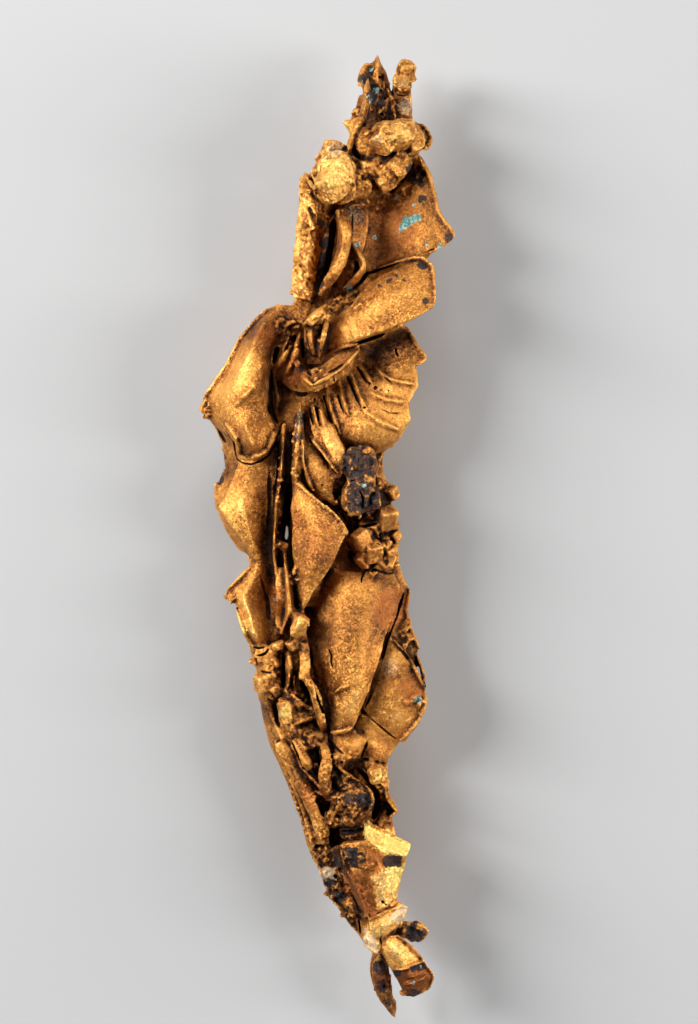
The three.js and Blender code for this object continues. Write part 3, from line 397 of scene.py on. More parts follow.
# %% Grow and cut the fan
FAN_SLOTS = [
    [(19.2, 81), (19.9, 79.8), (20.7, 78.5)],
    [(18, 80.2), (18.8, 78), (20, 75.3)],
    [(16.6, 79.3), (17.1, 77), (17.9, 74.6)],
    [(15.2, 78.2), (15.8, 75.4), (16.8, 72.4)],
    [(14.2, 77.6), (14.5, 75.4), (15, 73)],
    [(13.5, 76.6), (13.8, 74.8), (14.2, 73.2)],
]
with editing(growths):
    for slot in FAN_SLOTS:
        rib([(x + 0.6, y - 0.2) for x, y in slot], 0.7, 0, 1.2, 4, 0.3)
    rib([(15.4, 73.8), (16.2, 71.6), (17, 70), (17.6, 68.4)], 2.1, -0.45, 0.6, 8, 0.4)
    rib([(21.6, 80.6), (23, 79.2), (24.6, 78.6), (26.4, 78.4)], 0.6, 0, 1, 4)
    rib([(21, 77.4), (23, 76.4), (25.4, 76.2)], 0.6, 0, 1, 4)
    rib([(20.4, 75), (22.4, 73.6), (24.6, 72.8)], 0.6, 0, 1, 4)
    rib([(25.6, 85.4), (26.6, 83.4), (27.4, 82.4), (28, 81.5), (26.9, 80.6)], 0.4, 0)
with editing(crevices):
    for slot in FAN_SLOTS:
        groove(slot, 0.36, 0.9)
    groove([(22.6, 79.4), (24, 78.2), (25.6, 77.6)], 0.35, 0.4)
    groove([(21.6, 75.6), (23.4, 74.8), (25, 74.8)], 0.35, 0.4)
    groove([(24.2, 82.9), (24.3, 82.2), (24.6, 81.6)], 0.5, 1)
    for x, y, size in [
        (21.7, 77.9, 0.6), (21, 78.4, 0.4), (23.3, 77.5, 0.4), (22.4, 77.6, 0.3), (20.4, 75.4, 0.5),
    ]:
        pit(x, y, size, 0.6)
tell("fan")

# %% [markdown]
# ## The left wing
# On the left a broad leaf bulges towards us, smooth and bright. A fold separates it from the leaf below it,
# and its outer corner ends in a rough knob.

# %% Grow and cut the left wing
with editing(growths):
    crust(0.9, 75.4, 0.9, 9, 0.7)
    crust(1.2, 74, 0.7, 6, 0.6)
    rib([(8.6, 87.8), (7, 86.4), (4.8, 83.4), (3.4, 80.6), (1.8, 78.2), (0.6, 76.8)], 0.5, -0.1)
    rib([(3.4, 73.6), (4.9, 71.8), (5.2, 69.8), (6.4, 69.2), (8.4, 70.4), (9.3, 72.4), (10.2, 73.8)], 0.8,
        -0.25)
    rib([(4.4, 75.1), (5.4, 76.4), (6.6, 77.4)], 0.6, -0.15, 0.8)
    rib([(9.4, 79), (9.8, 76.8), (9.6, 74.8)], 0.7, 0, 1.2, 4)
    crust(2.6, 69.6, 0.5, 6, 0.5, (0.6, 2))
    crust(9.9, 65, 0.5, 30, 0.38, (0.5, 15))
    crust(2, 66.4, 0.5, 6, 0.5, (0.6, 2.4))
with editing(crevices):
    groove([(3, 73.2), (4.4, 71.2), (4.8, 69.2), (6.6, 68.6), (8.7, 69.7), (9.9, 72)], 0.35, 0.8)
    groove([(9, 80.6), (8.9, 77.6), (9.1, 75), (9.8, 73.6)], 0.5, 1.2)
    groove([(1.6, 73.6), (2.6, 72.4), (3.4, 71.2)], 0.5, 0.9)
    groove([(8.8, 68.6), (8.8, 64.4), (8.6, 59)], 0.7, 0.5)
    groove([(9.9, 72.6), (9.8, 68), (9.2, 63), (9, 58)], 0.35, 0.9)
tell("left wing")

# %% [markdown]
# ## The middle
# Narrow leaves lie over each other like shingles in the middle, each with a dark line along its edge.
# Beside them are two dark knobs, crinkled like walnut shells.

# %% Grow and cut the middle
with editing(growths):
    rib([(13.7, 72), (14.6, 70.8), (15.8, 69.3), (17.2, 67.2)], 0.4, 0.1)
    rib([(12.9, 71.6), (12.9, 69), (13.4, 66.8), (14.4, 65)], 0.5, 0.15)
    rib([(12.3, 66.3), (13.4, 65.2), (14.7, 64.2), (16.8, 62.5), (18.5, 60.4)], 0.4, 0)
    for x, y, size in [
        (19, 69.8, 1.6), (20.8, 70, 1.5), (19, 68, 1.5), (20.8, 67.8, 1.7), (18.6, 65, 1.9),
        (20.6, 65.4, 1.7), (21.6, 63.8, 1.8), (19.4, 63.2, 1.9),
    ]:
        nodule(x, y, size, -0.4, lumps=0.25)
    nodule(19.9, 66.6, 3.4, -0.9, (1.1, 1, 0.9), 0, 0.2)
    crust(19.9, 66.6, 1.8, 24, 0.7)
    crust(19.9, 68.8, 2, 46, 0.7)
    crust(20.2, 64.4, 2.3, 54, 0.7)
    crystal(23.7, 65.1, 1.4, 45, (40, 35), -0.3, corner=0.1)
    crust(11.8, 54.8, 0.8, 16, 0.5, (0.8, 1.4))
    crust(11.9, 69, 0.4, 14, 0.38, (0.6, 9))
with editing(crevices):
    groove([(13.4, 72.2), (14.4, 70.4), (15.7, 69), (17.2, 66.8)], 0.3, 0.9)
    groove([(12.2, 66.6), (14.4, 64.6), (16.6, 62.9)], 0.3, 0.8)
    groove([(17.9, 67.8), (17.5, 65.8), (17.3, 63.6), (18.2, 61.6)], 0.5, 1.2)
    groove([(18.4, 66.4), (19.8, 66.7), (21.8, 66.4)], 0.3, 0.6, 1)
    groove([(19, 70.6), (19.7, 69.2), (19.4, 67.6)], 0.3, 0.5)
    groove([(21.4, 70), (20.6, 68.8), (21, 67.4)], 0.3, 0.5)
    groove([(19.4, 65.8), (20.2, 64.4), (20, 62.8)], 0.35, 0.6)
    groove([(22.2, 65.4), (21, 64.6), (21.4, 63)], 0.3, 0.5)
    for x, y, size in [
        (14.4, 67.4, 0.4), (15.2, 66, 0.4), (14.4, 66.9, 0.3), (15.8, 64.8, 0.4), (18.8, 69.4, 0.5),
    ]:
        pit(x, y, size, 0.4)
    groove([(18.4, 60.2), (17, 57.4), (15.6, 54.8), (13, 50.9)], 0.45, 1.3, -0.6)
tell("middle")

# %% [markdown]
# ## The cluster
# Under the knobs is a nest of blocky crystals, corner to corner, with black gaps between them.

# %% Grow and cut the cluster
with editing(growths):
    for x, y, size, turn in [
        (23.1, 62, 2.1, 12), (20, 59.4, 1.9, 38), (21.4, 57.9, 2, 15), (20.2, 56.9, 1.5, 60),
        (23.4, 57.6, 1.7, 28), (22.6, 56.4, 1.3, 70), (24, 56, 1.1, 10), (21.8, 60.7, 1.4, 50),
        (19.3, 61.6, 1.3, 20), (21, 62.6, 1.2, 65), (24.2, 59.9, 1.2, 40), (22.7, 59.3, 1, 5),
        (18.9, 57.8, 1.1, 30), (21.5, 55.8, 1, 45),
    ]:
        crystal(x, y, size * 0.95, turn, (28 + turn % 17, 40 - turn % 23), -0.1, (1, 1.25, 0.9), 0.12)
    crust(21.8, 58.6, 2.6, 40, 0.8, (1, 1.3))
with editing(crevices):
    pit(22.3, 60, 0.8, 1.2)
    groove([(19, 60.9), (20.6, 61), (22, 61.4)], 0.5, 1.2)
    groove([(20.1, 55.4), (21.6, 55.8), (23, 55.2), (24.2, 55.4)], 0.35, 1)
    groove([(18.9, 58.4), (18.6, 57.2), (19.4, 56)], 0.7, 1)
    groove([(20.9, 59), (22.2, 58.8), (22.8, 57.6)], 0.3, 0.8)
tell("cluster")

# %% [markdown]
# ## The great leaf and the leaves behind it
# The broadest leaf is smooth, with one crack and a folded lower rim. A dark line runs along both its sides.
# To its right, thinner leaves stick out from behind, one with an edge as thin as paper.

# %% Grow and cut the great leaf
with editing(growths):
    rib([(16.2, 35.8), (17.4, 36), (18.8, 36.5)], 0.5, 0.2, 1.4, 4, 0.7)
    rib([(16.6, 40.6), (17.4, 41.3), (18.4, 41.6)], 0.5, 0, 0.8)
    rib([(23.4, 47.6), (25, 46), (25.9, 44.9), (27, 42.6), (27.9, 40.9)], 0.35, 0.2, 2, 4)
    rib([(26.8, 45.3), (27.4, 43.6), (27.9, 41.6)], 0.4, 0.1)
    rib([(25, 57), (26, 53.4), (25.5, 50.6), (26.2, 48.2), (27.2, 45.8)], 0.6, 0.1)
    crust(25.4, 48, 0.8, 12, 0.6, (0.8, 2.4))
    crust(26.6, 39.4, 0.9, 8, 0.5)
    rib([(27.9, 40.6), (27.6, 38.4), (26.4, 36.4), (24.8, 34.6)], 0.5, 0)
with editing(crevices):
    groove([(15.9, 46.3), (16.4, 45.3), (16.3, 44.6), (16.6, 43.7)], 0.4, 0.8)
    groove([(20.6, 55.7), (20.1, 54.9), (20, 53.9)], 0.3, 0.7)
    groove([(20.6, 55.5), (22, 55.6), (23.4, 55.2)], 0.4, 0.9)
    groove([(19.3, 53.6), (19.9, 53.3), (20.6, 53.4)], 0.25, 0.3)
    groove([(19.4, 52.8), (20, 52.6), (20.6, 52.7)], 0.25, 0.3)
    groove([(13.3, 50.6), (13.6, 47.4), (14.2, 42), (15.2, 38.6), (15.9, 36.2)], 0.5, 1.5, -0.2)
    groove([(25.3, 53), (24.4, 50), (23.3, 47.3), (22.3, 43.9), (21.4, 40.9), (20.3, 38.4), (19, 36.4)],
           0.4, 1.2, -0.2)
    groove([(26.6, 45), (27.2, 43.4), (27.6, 42)], 0.5, 1)
    groove([(20.2, 38.2), (22.4, 36.4), (24.4, 34.8)], 0.3, 0.8)
    groove([(19.6, 36.2), (20.4, 35.6)], 0.9, 0.9)
    groove([(15.8, 35), (16.8, 34), (17.9, 33.2)], 0.5, 1.2)
    groove([(20.8, 34.8), (20.4, 33.6), (19.9, 32.4)], 0.35, 0.8)
    pit(26.9, 39.8, 0.7, 0.3)
    pit(26.2, 41.4, 0.4, 0.3)
tell("great leaf")

# %% [markdown]
# ## The left flank
# Down the left side the leaf ends in a bright corner, and small blocks, struts and shelves are packed
# against the great leaf, with dark hollows between them. One hollow is ringed by a knot of twisted wire.

# %% Grow and cut the left flank
with editing(growths):
    crust(4, 52.2, 0.8, 8, 0.6)
    rib([(6.4, 56), (5, 54.6), (3.6, 53.2)], 0.5, 0)
    rib([(4.6, 51.2), (5.4, 49), (6.2, 47), (7, 46.2)], 0.5, 0.1)
    rib([(10, 56), (10.3, 52), (9.9, 48.6)], 1.4, 0, 0.6, 6)
    crystal(12.5, 48.8, 1.7, -14, (24, 30), -0.2, (0.9, 1.7, 0.8), 0.45)
    crystal(11.6, 46.6, 1.1, 40, (20, 20), 0)
    crystal(12.4, 46.7, 0.9, 10, (30, 20), 0)
    crystal(9.9, 46.5, 1, 20, (20, 30), 0.1, (1.5, 0.8, 0.8), 0.35)
    rib([(12.9, 46.8), (13.2, 44.6), (13, 42.4)], 1.4, -0.3, 0.7, 4, 1)
    rib([(13.1, 42.8), (14, 41.5), (14.6, 40), (14.9, 38), (15.4, 36)], 1.2, 0, 1.1, 4, 0.8)
    rib([(11.1, 46.2), (11.4, 43.8), (11, 41.2)], 0.6, 0.1, 1.2, 4, 0.7)
    rib([(11.9, 43.2), (11.8, 41.8), (12.2, 40.4)], 0.4, 0.8, 1.4, 4)
    crystal(8.2, 42, 2, 20, (24, 28), -0.6, (1.2, 1, 0.8), 0.1)
    crystal(9.4, 41, 1.3, 50, (30, 22), -0.3, corner=0.1)
    crust(7.2, 44.9, 0.7, 8, 0.6, (0.8, 1.6))
    crystal(10.7, 38.5, 1.5, 12, (12, 24), 0.3, (0.95, 1.9, 0.8), 0.3)
    crystal(11.2, 36.8, 0.9, 34, (20, 14), 0.2)
    crystal(12.9, 37.7, 1.4, 18, (-18, 12), 0.2, (2.1, 0.9, 0.7), 0.15)
    rib([(11.4, 40.6), (12.4, 39.7), (13.4, 38.9), (14.7, 38.3)], 0.8, 0.2, 0.8, 4)
    crust(12.4, 39.6, 0.9, 12, 0.6)
    knot = [(13.7 + 1.25 * cos(a * pi / 5), 35.1 + 1.35 * sin(a * pi / 5)) for a in range(10)]
    rib(knot, 0.5, 0, 1, 6, 0.8)
    rib([(13, 35.8), (13.9, 36.1), (14.4, 35.3)], 0.4, 0.3)
    rib([(13.1, 34.6), (13.9, 34.2), (14.5, 34.7)], 0.4, 0.2)
    crust(13.7, 35.1, 1.5, 44, 0.55)
    crust(12, 41, 1.2, 16, 0.5, (1, 1.8))
    crust(9.6, 43.6, 0.8, 10, 0.5, (0.8, 2))
with editing(crevices):
    groove([(7.6, 55), (8.4, 52), (8.6, 49.4)], 0.7, 0.5)
    groove([(10.4, 45.6), (10.4, 43), (10.5, 40.8)], 0.5, 1.5)
    groove([(12, 45.8), (12, 43.8), (11.6, 41.6)], 0.45, 1.4)
    groove([(12.4, 42), (13.1, 40.8), (13.6, 39.6)], 0.6, 1.4)
    groove([(9.3, 39.8), (9.5, 38), (10, 36.4)], 0.8, 1)
    groove([(7, 43.4), (8, 43.2), (9.1, 43.1)], 0.3, 0.8)
    groove([(8.8, 46.2), (8.2, 45.4), (7.2, 45.2)], 0.35, 0.8)
    groove([(6.6, 46.4), (7.4, 46.1), (8.4, 46.3)], 0.35, 0.8)
tell("left flank")

# %% [markdown]
# ## The keel
# A long smooth rib runs down the left edge like a keel, with a rough strip outside it. Between it and the
# middle lie narrow bands and deep pockets.

# %% Grow and cut the keel
with editing(growths):
    rib([(9.9, 34.6), (11.3, 32.2), (12.6, 29.9), (14, 27.2), (14.9, 25.2), (15.5, 22.8)], 2, -0.1, 0.5, 8,
        0.7)
    rib([(9.4, 34.8), (10.4, 31.8), (11.9, 28.9), (13, 26.1), (13.7, 23.4), (14.2, 20.9)], 0.8, 0, 0.8, 6)
    for n in range(22):
        crystal(9.6 + 0.21 * n, 34.4 - 0.62 * n, 0.6, 40 * n, (30, 20), 0.05)
    rib([(11.7, 34.9), (12.7, 33.2), (13.8, 31.4)], 1.3, 0, 0.8, 4, 0.7)
    rib([(12.9, 31.3), (14, 30.5), (14.8, 29.4)], 0.25, 0.4, sides=4)
    rib([(15.2, 34.6), (15.8, 32.8), (15.5, 31), (15.6, 29.4), (16, 28)], 1.4, -0.1, 0.8, 4, 0.7)
    rib([(13.3, 28.8), (14.3, 28.7), (15.3, 28.2)], 0.4, 0.4, 1, 4)
    crystal(14.4, 31.7, 0.7, 20, (10, 30), 0.4)
with editing(crevices):
    groove([(9.9, 33.6), (11.2, 31.2), (12.8, 27.8), (14, 25.4), (14.6, 23)], 0.3, 0.7, 0.3)
    groove([(11.4, 34.9), (12.2, 33.2), (13.2, 31.2)], 0.4, 1.2)
    groove([(14.5, 34), (14.7, 32.4), (14.4, 30.6)], 0.5, 1.2)
    pit(13.9, 29.6, 1.1, 1.2)
    groove([(14.3, 28), (15, 26.8), (15.4, 25.4)], 1, 1.7)
    groove([(16.5, 34), (16.4, 31.6), (16.8, 29.6)], 0.5, 1.2)
tell("keel")

# %% [markdown]
# ## The lower nest
# Below the leaves is a tangle: a curled leaf that carries two black rosettes, a rough crumbly mass, and a
# rim of bright crystals round a deep cavity.

# %% Grow and cut the lower nest
with editing(growths):
    rib([(16.9, 31.8), (18.4, 30.7), (20.1, 29.8), (21.2, 28.6), (21.4, 27.2), (20.7, 26.2)], 0.45, 0.2,
        1.4, 4)
    for x, y, r in [(18.5, 27.9, 0.6), (20.1, 27.7, 0.8)]:
        for a in range(9):
            ray = 2 * pi * a / 9
            rib([(x, y), (x + r * cos(ray), y + r * sin(ray))], 0.28, 0.25, 1.4, 4, 0.5)
    for x, y, size in [
        (16.8, 30.4, 1.4), (17.6, 26.6, 1.4), (16.6, 25.8, 1.3), (18.4, 25.2, 1.5), (19.4, 24.6, 1.2),
        (16.8, 32.6, 1.2), (17.8, 31.4, 1),
    ]:
        crystal(x, y, size, 37 * x, (25, 30), -0.3, (1.2, 0.7, 1), 0.35)
    crust(17.4, 26.4, 1.9, 50, 0.5)
    crust(17.4, 30.8, 1.3, 26, 0.5)
    crust(22.4, 25, 0.9, 8, 0.6)
    crystal(21.9, 30.8, 1.9, 20, (14, 18), 0.1, (1.1, 1, 0.8))
    crystal(22.7, 29.8, 1.1, 50, (25, 15), 0.1)
    rib([(22.9, 29.2), (23.1, 27.7), (24.3, 26.2), (23.2, 25.3)], 0.4, 0.2, 1.2, 4)
    rib([(22.5, 27.6), (22.7, 26.4), (23.1, 25.4)], 0.3, 0.2, 1.2, 4)
with editing(crevices):
    groove([(19.4, 31.4), (20.8, 29.9), (21.9, 28.2), (22, 26.4), (21.4, 25)], 0.9, 1.8)
    groove([(15.7, 22.9), (17.3, 23.4), (19, 23.7), (20.2, 23.9)], 0.7, 1.5)
    groove([(16.6, 29.4), (17.4, 28.7), (18.4, 28.9)], 0.4, 1)
    groove([(16.9, 28.3), (17, 27), (16.4, 26.4)], 0.3, 0.7)
    groove([(23.3, 27.2), (23.6, 26.3)], 0.4, 0.6)
    for x, y, size in [
        (17.2, 25.6, 0.6), (18.6, 26.4, 0.5), (16.2, 27, 0.5), (19, 30, 0.5), (17.6, 32.2, 0.6),
    ]:
        pit(x, y, size, 0.7)
tell("lower nest")

# %% [markdown]
# ## The block
# Near the lower end the copper grew as blocks with flat faces. A bright slab lies across the top of one,
# whose front is half eaten away, and a dark rough mass clings to its left side.

# %% Grow and cut the block
with editing(growths):
    rib([(17.3, 22.5), (18, 19.8), (18.9, 18), (20.2, 15), (20.9, 13.4)], 0.35, 0.1, 1, 4)
    rib([(20.8, 24.7), (22.6, 24), (24.4, 23.2), (26.1, 22.4)], 0.4, 0, 1, 4)
    rib([(20.9, 13.2), (22.3, 13.9), (24, 14.6), (25.6, 14.7), (25, 13), (24.7, 11.8)], 0.35, 0.05, 1, 4)
    rib([(20.4, 11.2), (20.5, 9.9), (22, 8.9)], 0.4, 0.05, 1, 4)
    crust(18.9, 20.9, 0.9, 9, 0.5)
    crust(20.9, 20.2, 0.8, 7, 0.5)
    crust(15.6, 20.4, 1.1, 12, 0.6)
    crust(17, 15.8, 1.4, 18, 0.6)
    crust(18.6, 12.8, 0.9, 9, 0.6)
    crystal(15.9, 18.2, 0.9, 30, (8, 8), 0.35, (0.8, 1.4, 0.8), 0.3)
    rib([(14.3, 20.6), (15.2, 18), (16.4, 15.4), (18, 13), (19.6, 10.8)], 0.5, 0)
with editing(crevices):
    groove([(17.3, 19.4), (17.9, 17.8), (18.9, 15.7), (20, 13.6)], 0.5, 1.5, 0)
    groove([(19.6, 13), (19.8, 12), (19.9, 10.8)], 0.35, 1)
    groove([(18.4, 21.6), (19.6, 21.2), (20.4, 21.4)], 0.5, 0.4)
    groove([(18.4, 20.4), (19.2, 19.6), (20.4, 19.4)], 0.5, 0.4)
    groove([(20.6, 20.8), (21.6, 20.6), (22, 19.6)], 0.4, 0.3)
    groove([(25, 20.8), (25.1, 19.2)], 0.4, 0.8)
    for x, y, size in [
        (16.6, 19, 0.9), (15.2, 19.2, 0.7), (16.8, 18, 0.7), (15.8, 17.2, 0.7), (16.9, 16.2, 0.8),
        (17.6, 15.2, 0.8), (18.3, 14, 0.6), (22.6, 15.4, 0.5), (23.8, 15.3, 0.4), (23, 15, 0.4),
    ]:
        pit(x, y, size, 0.7)
    groove([(20.6, 22.8), (22, 22.1), (23.8, 21.8)], 0.25, 0.4)
    groove([(22.6, 9.8), (22.3, 10.8), (22.8, 11.6)], 0.25, 0.5)
tell("block")

# %% [markdown]
# ## The tooth and the tip
# The lower end splits into a banded block like a tooth, a dark hooded wing at its right and a thin spike
# that is the lower tip.

# %% Grow and cut the lower end
with editing(growths):
    rib([(25, 12.5), (26.2, 12.6), (27.4, 12.8), (28.4, 12.1), (27.9, 10.9), (26.9, 9.8)], 0.4, 0.1, 1, 4)
    nodule(26.7, 11.5, 2.3, -0.5, (1.3, 0.95, 0.6), 20, 0.15)
    crust(26.8, 11.6, 1.3, 22, 0.5, (1.2, 0.8))
    rib([(25, 4.9), (26.4, 5.5), (28, 6.2)], 0.35, 0.1, 1.2, 4)
    rib([(24, 6.9), (25.6, 7.3), (27.6, 8)], 0.3, 0.05, 1.2, 4)
    rib([(23.4, 11), (24.4, 11.2), (26, 10), (27.2, 8.9), (27.9, 7.4), (28.8, 6.1), (28.2, 4.2)], 0.4, 0, 1,
        4)
    crust(26.2, 4, 1, 8, 0.5, (1.3, 0.7))
    rib([(22.2, 8.6), (22.2, 6.2), (22.7, 3.8), (23.6, 1.8), (24.2, 0.3)], 1.7, -0.2, 0.8, 4, 0.2)
    for x, y, size in [(22.2, 7.4, 0.8), (22.3, 5.6, 0.8), (22.7, 3.8, 0.7), (23.4, 2.2, 0.5)]:
        crust(x, y, size, 12, 0.5)
with editing(crevices):
    pit(26.2, 11.5, 1.3, 0.5)
    pit(27.1, 11.3, 0.8, 0.4)
    groove([(24.9, 5.4), (26.4, 6), (28.1, 6.6)], 0.35, 0.4)
    groove([(24.1, 6.5), (25.8, 7), (27.8, 7.6)], 0.3, 0.3)
    pit(25.6, 4.1, 0.6, 0.5)
    pit(26.5, 3.9, 0.5, 0.5)
    groove([(22, 8.2), (21.8, 6.4), (22.2, 4.8)], 0.4, 0.6)
    groove([(23, 7.4), (23.2, 5), (23.6, 2.6)], 0.3, 0.5)
    pit(22.6, 6.6, 0.5, 0.5)
    pit(22.7, 4.6, 0.5, 0.5)
tell("lower end")

# %% [markdown]
# ## Softening the leaves
# The solid's leaves are flat facets with straight creases, but real leaves swell and sag. A voxel remesh
# gives the copy small even faces, and a Smooth modifier then irons out the shallow creases. It works only
# where the skin is nearly flat, so sharp edges stay: there, a point's normal still agrees with those around
# it. The blocks of the lower end keep their flat faces.

# %% Remesh and smooth the copy
import numpy as np

COARSE = 0.22 * MM
BLOCK_TOP = 25
CREASED = 0.84
CREASE_FADES_OVER = 0.08


def corners(mesh):
    co = np.empty(len(mesh.vertices) * 3, np.float32)
    mesh.vertices.foreach_get("co", co)
    return co.reshape(-1, 3)


def facing(mesh):
    normals = np.empty(len(mesh.vertices) * 3, np.float32)
    mesh.vertices.foreach_get("normal", normals)
    return normals.reshape(-1, 3)


def places(mesh):
    co = corners(mesh)
    return (co[:, 0] - cad_low.x) / MM, (co[:, 1] - cad_low.y) / MM


def neighbours_mean(mesh, values, rounds):
    edges = np.empty(len(mesh.edges) * 2, np.int32)
    mesh.edges.foreach_get("vertices", edges)
    a, b = edges.reshape(-1, 2).T
    count = len(values)
    neighbours = np.bincount(a, minlength=count) + np.bincount(b, minlength=count)
    columns = [values[:, n].astype(np.float64) for n in range(values.shape[1])]
    for _ in range(rounds):
        columns = [(np.bincount(a, c[b], count) + np.bincount(b, c[a], count)) / neighbours for c in columns]
    return np.stack(columns, 1)


def vertex_group(thing, name, strengths, steps=10):
    group = thing.vertex_groups.new(name=name)
    level = np.round(strengths * steps).astype(int)
    for step in range(1, steps + 1):
        group.add(np.nonzero(level == step)[0].tolist(), step / steps, "REPLACE")


def fuse(thing, size):
    apply_modifier(thing, "REMESH", mode="VOXEL", voxel_size=size, adaptivity=0)


skin = empty_mesh("copper_skin")
skin.data = solid.data.copy()
with editing(skin):
    bpy.ops.mesh.select_all(action="SELECT")
    bpy.ops.mesh.remove_doubles(threshold=0.001 * MM)
fuse(skin, COARSE)
agreement = np.linalg.norm(neighbours_mean(skin.data, facing(skin.data), 5), axis=1)
above_block = np.clip((corners(skin.data)[:, 1] - cad_low.y) / MM / 2 - BLOCK_TOP / 2, 0, 1)
vertex_group(skin, "flat", np.clip((agreement - CREASED) / CREASE_FADES_OVER, 0, 1) * above_block)
apply_modifier(skin, "SMOOTH", factor=1.0, iterations=50, vertex_group="flat")
print("softened:", len(skin.data.polygons), "faces")

# %% [markdown]
# ## One skin
# The softened copy and all that grew on it overlap. A finer voxel remesh follows only the outermost
# surface, so it fuses them into one closed skin. The crevices are fused in the same way and cut out with a
# boolean. Anything that came loose is thrown away.

# %% Fuse, cut and keep the largest
FINE = 0.15 * MM


def largest_piece(thing):
    pick(thing)
    bpy.ops.object.mode_set(mode="EDIT")
    bpy.ops.mesh.select_all(action="SELECT")
    bpy.ops.mesh.separate(type="LOOSE")
    bpy.ops.object.mode_set(mode="OBJECT")
    pieces = sorted(bpy.context.selected_objects, key=lambda piece: len(piece.data.polygons))
    for piece in pieces[:-1]:
        bpy.data.objects.remove(piece)
    return pieces[-1]


pick(growths)
skin.select_set(True)
bpy.context.view_layer.objects.active = skin
bpy.ops.object.join()
fuse(skin, FINE)
fuse(crevices, FINE)
apply_modifier(skin, "BOOLEAN", operation="DIFFERENCE", object=crevices, solver="MANIFOLD")
skin = largest_piece(skin)
skin.name = "copper_skin"
print("fused skin:", len(skin.data.polygons), "faces")

# %% [markdown]
# ## Patches
# Roughness, tarnish and colour all come in patches. A patch is a list of round spots, each a place, a
# radius and a strength. For each point of the skin the strongest spot counts, fading towards its rim. A
# flat face of the block has a colour of its own with straight edges, so it is given by its outline: a point
# is inside if a line from it to the right crosses the outline an odd number of times.

# %% Measure patches on the skin
def in_front(mesh):
    return np.clip(facing(mesh)[:, 2] * 3 + 1, 0, 1)


def patch(mesh, spots, behind=0.0):
    x, y = places(mesh)
    strength = np.zeros(len(x), np.float32)
    for at_x, at_y, radius, most in spots:
        near = np.clip(1.5 - np.hypot(x - at_x, y - at_y) / radius, 0, 1)
        strength = np.maximum(strength, near * most)
    return strength * (behind + (1 - behind) * in_front(mesh))


def inside(mesh, outline):
    x, y = places(mesh)
    within = np.zeros(len(x), bool)
    for (x1, y1), (x2, y2) in zip(outline, outline[1:] + outline[:1]):
        if y1 != y2:
            crosses = ((y1 > y) != (y2 > y)) & (x < x1 + (y - y1) * (x2 - x1) / (y2 - y1))
            within ^= crosses
    return within * in_front(mesh)


print("points that face up:", int((in_front(skin.data) > 0).sum()))

# %% [markdown]
# ## Roughening
# Displace modifiers push the skin in and out by a texture. Slow waves take the flatness off the leaves, a
# cell texture gives the crystalline lumps their grains, and a fine one gives every face its tooth.

# %% Push the skin in and out
ROUGH_SPOTS = [
    (16.8, 103.6, 3.4, 1), (24, 108.4, 3.6, 1), (22.5, 104, 3, 1), (25.5, 116.5, 1.6, 0.8), (20, 66, 4, 1),
    (21.5, 58.5, 3.4, 0.2), (18.5, 27.5, 4, 1), (12, 40, 4, 0.8), (16, 20, 4, 0.8), (9, 50, 2, 0.3),
    (13, 92, 4, 0.5), (13.6, 99.5, 3, 0.5),
]


def displace(thing, kind, size, deep, group="", **settings):
    texture = bpy.data.textures.new(kind.lower(), kind)
    texture.noise_scale = size * MM
    for setting, value in settings.items():
        setattr(texture, setting, value)
    apply_modifier(thing, "DISPLACE", texture=texture, texture_coords="LOCAL", strength=deep * MM,
                   mid_level=0.5, vertex_group=group)


vertex_group(skin, "rough", patch(skin.data, ROUGH_SPOTS, behind=0.4))
displace(skin, "CLOUDS", 5, 0.5)
displace(skin, "CLOUDS", 0.45, 0.09, noise_depth=3)
displace(skin, "CLOUDS", 1.3, 0.3, "rough", noise_depth=3)
displace(skin, "VORONOI", 0.6, 0.16, "rough")
print("roughened")

# %% [markdown]
# ## Thinning
# The skin now has several times more triangles than a render needs. Decimate collapses the shortest edges
# where the surface is flattest, so the creases keep theirs. The back, which lies on the table, is thinned
# more. Where two faces fold onto the same three corners they leave a fin, a stray triangle that hangs from
# one edge. Only two edges meet at its tip, so such tips are found and deleted, and the skin stays closed.

# %% Decimate
MOST = 190_000
BACK_KEPT = 0.12


def is_seen(tree, face):
    start = face.center + face.normal * 0.02 * MM
    return face.normal.z > -0.1 and tree.ray_cast(start, Vector((0, 0, 1)))[3] is None


def cut_fins(thing):
    with editing(thing):
        bpy.ops.mesh.select_mode(type="VERT")
        bpy.ops.mesh.select_all(action="DESELECT")
    while True:
        ends = np.empty(2 * len(thing.data.edges), np.int32)
        thing.data.edges.foreach_get("vertices", ends)
        tips = np.bincount(ends, minlength=len(thing.data.vertices)) < 3
        if not tips.any():
            return
        print("fins:", tips.sum())
        thing.data.vertices.foreach_set("select", tips)
        with editing(thing):
            bpy.ops.mesh.delete(type="VERT")


apply_modifier(skin, "TRIANGULATE")
cut_fins(skin)
tree = BVHTree.FromPolygons([v.co for v in skin.data.vertices], [p.vertices[:] for p in skin.data.polygons])
triangles = len(skin.data.polygons)
unseen = [not is_seen(tree, face) for face in skin.data.polygons]
skin.data.polygons.foreach_set("select", unseen)
with editing(skin):
    bpy.ops.mesh.select_mode(type="FACE")
    bpy.ops.mesh.decimate(ratio=BACK_KEPT)
print("triangles:", triangles, "of which unseen from above:", sum(unseen), "now", len(skin.data.polygons))
apply_modifier(skin, "DECIMATE", ratio=min(1, MOST / len(skin.data.polygons)))
cut_fins(skin)
skin = largest_piece(skin)
skin.name = "copper_skin"
print("triangles:", triangles, "thinned to", len(skin.data.polygons))

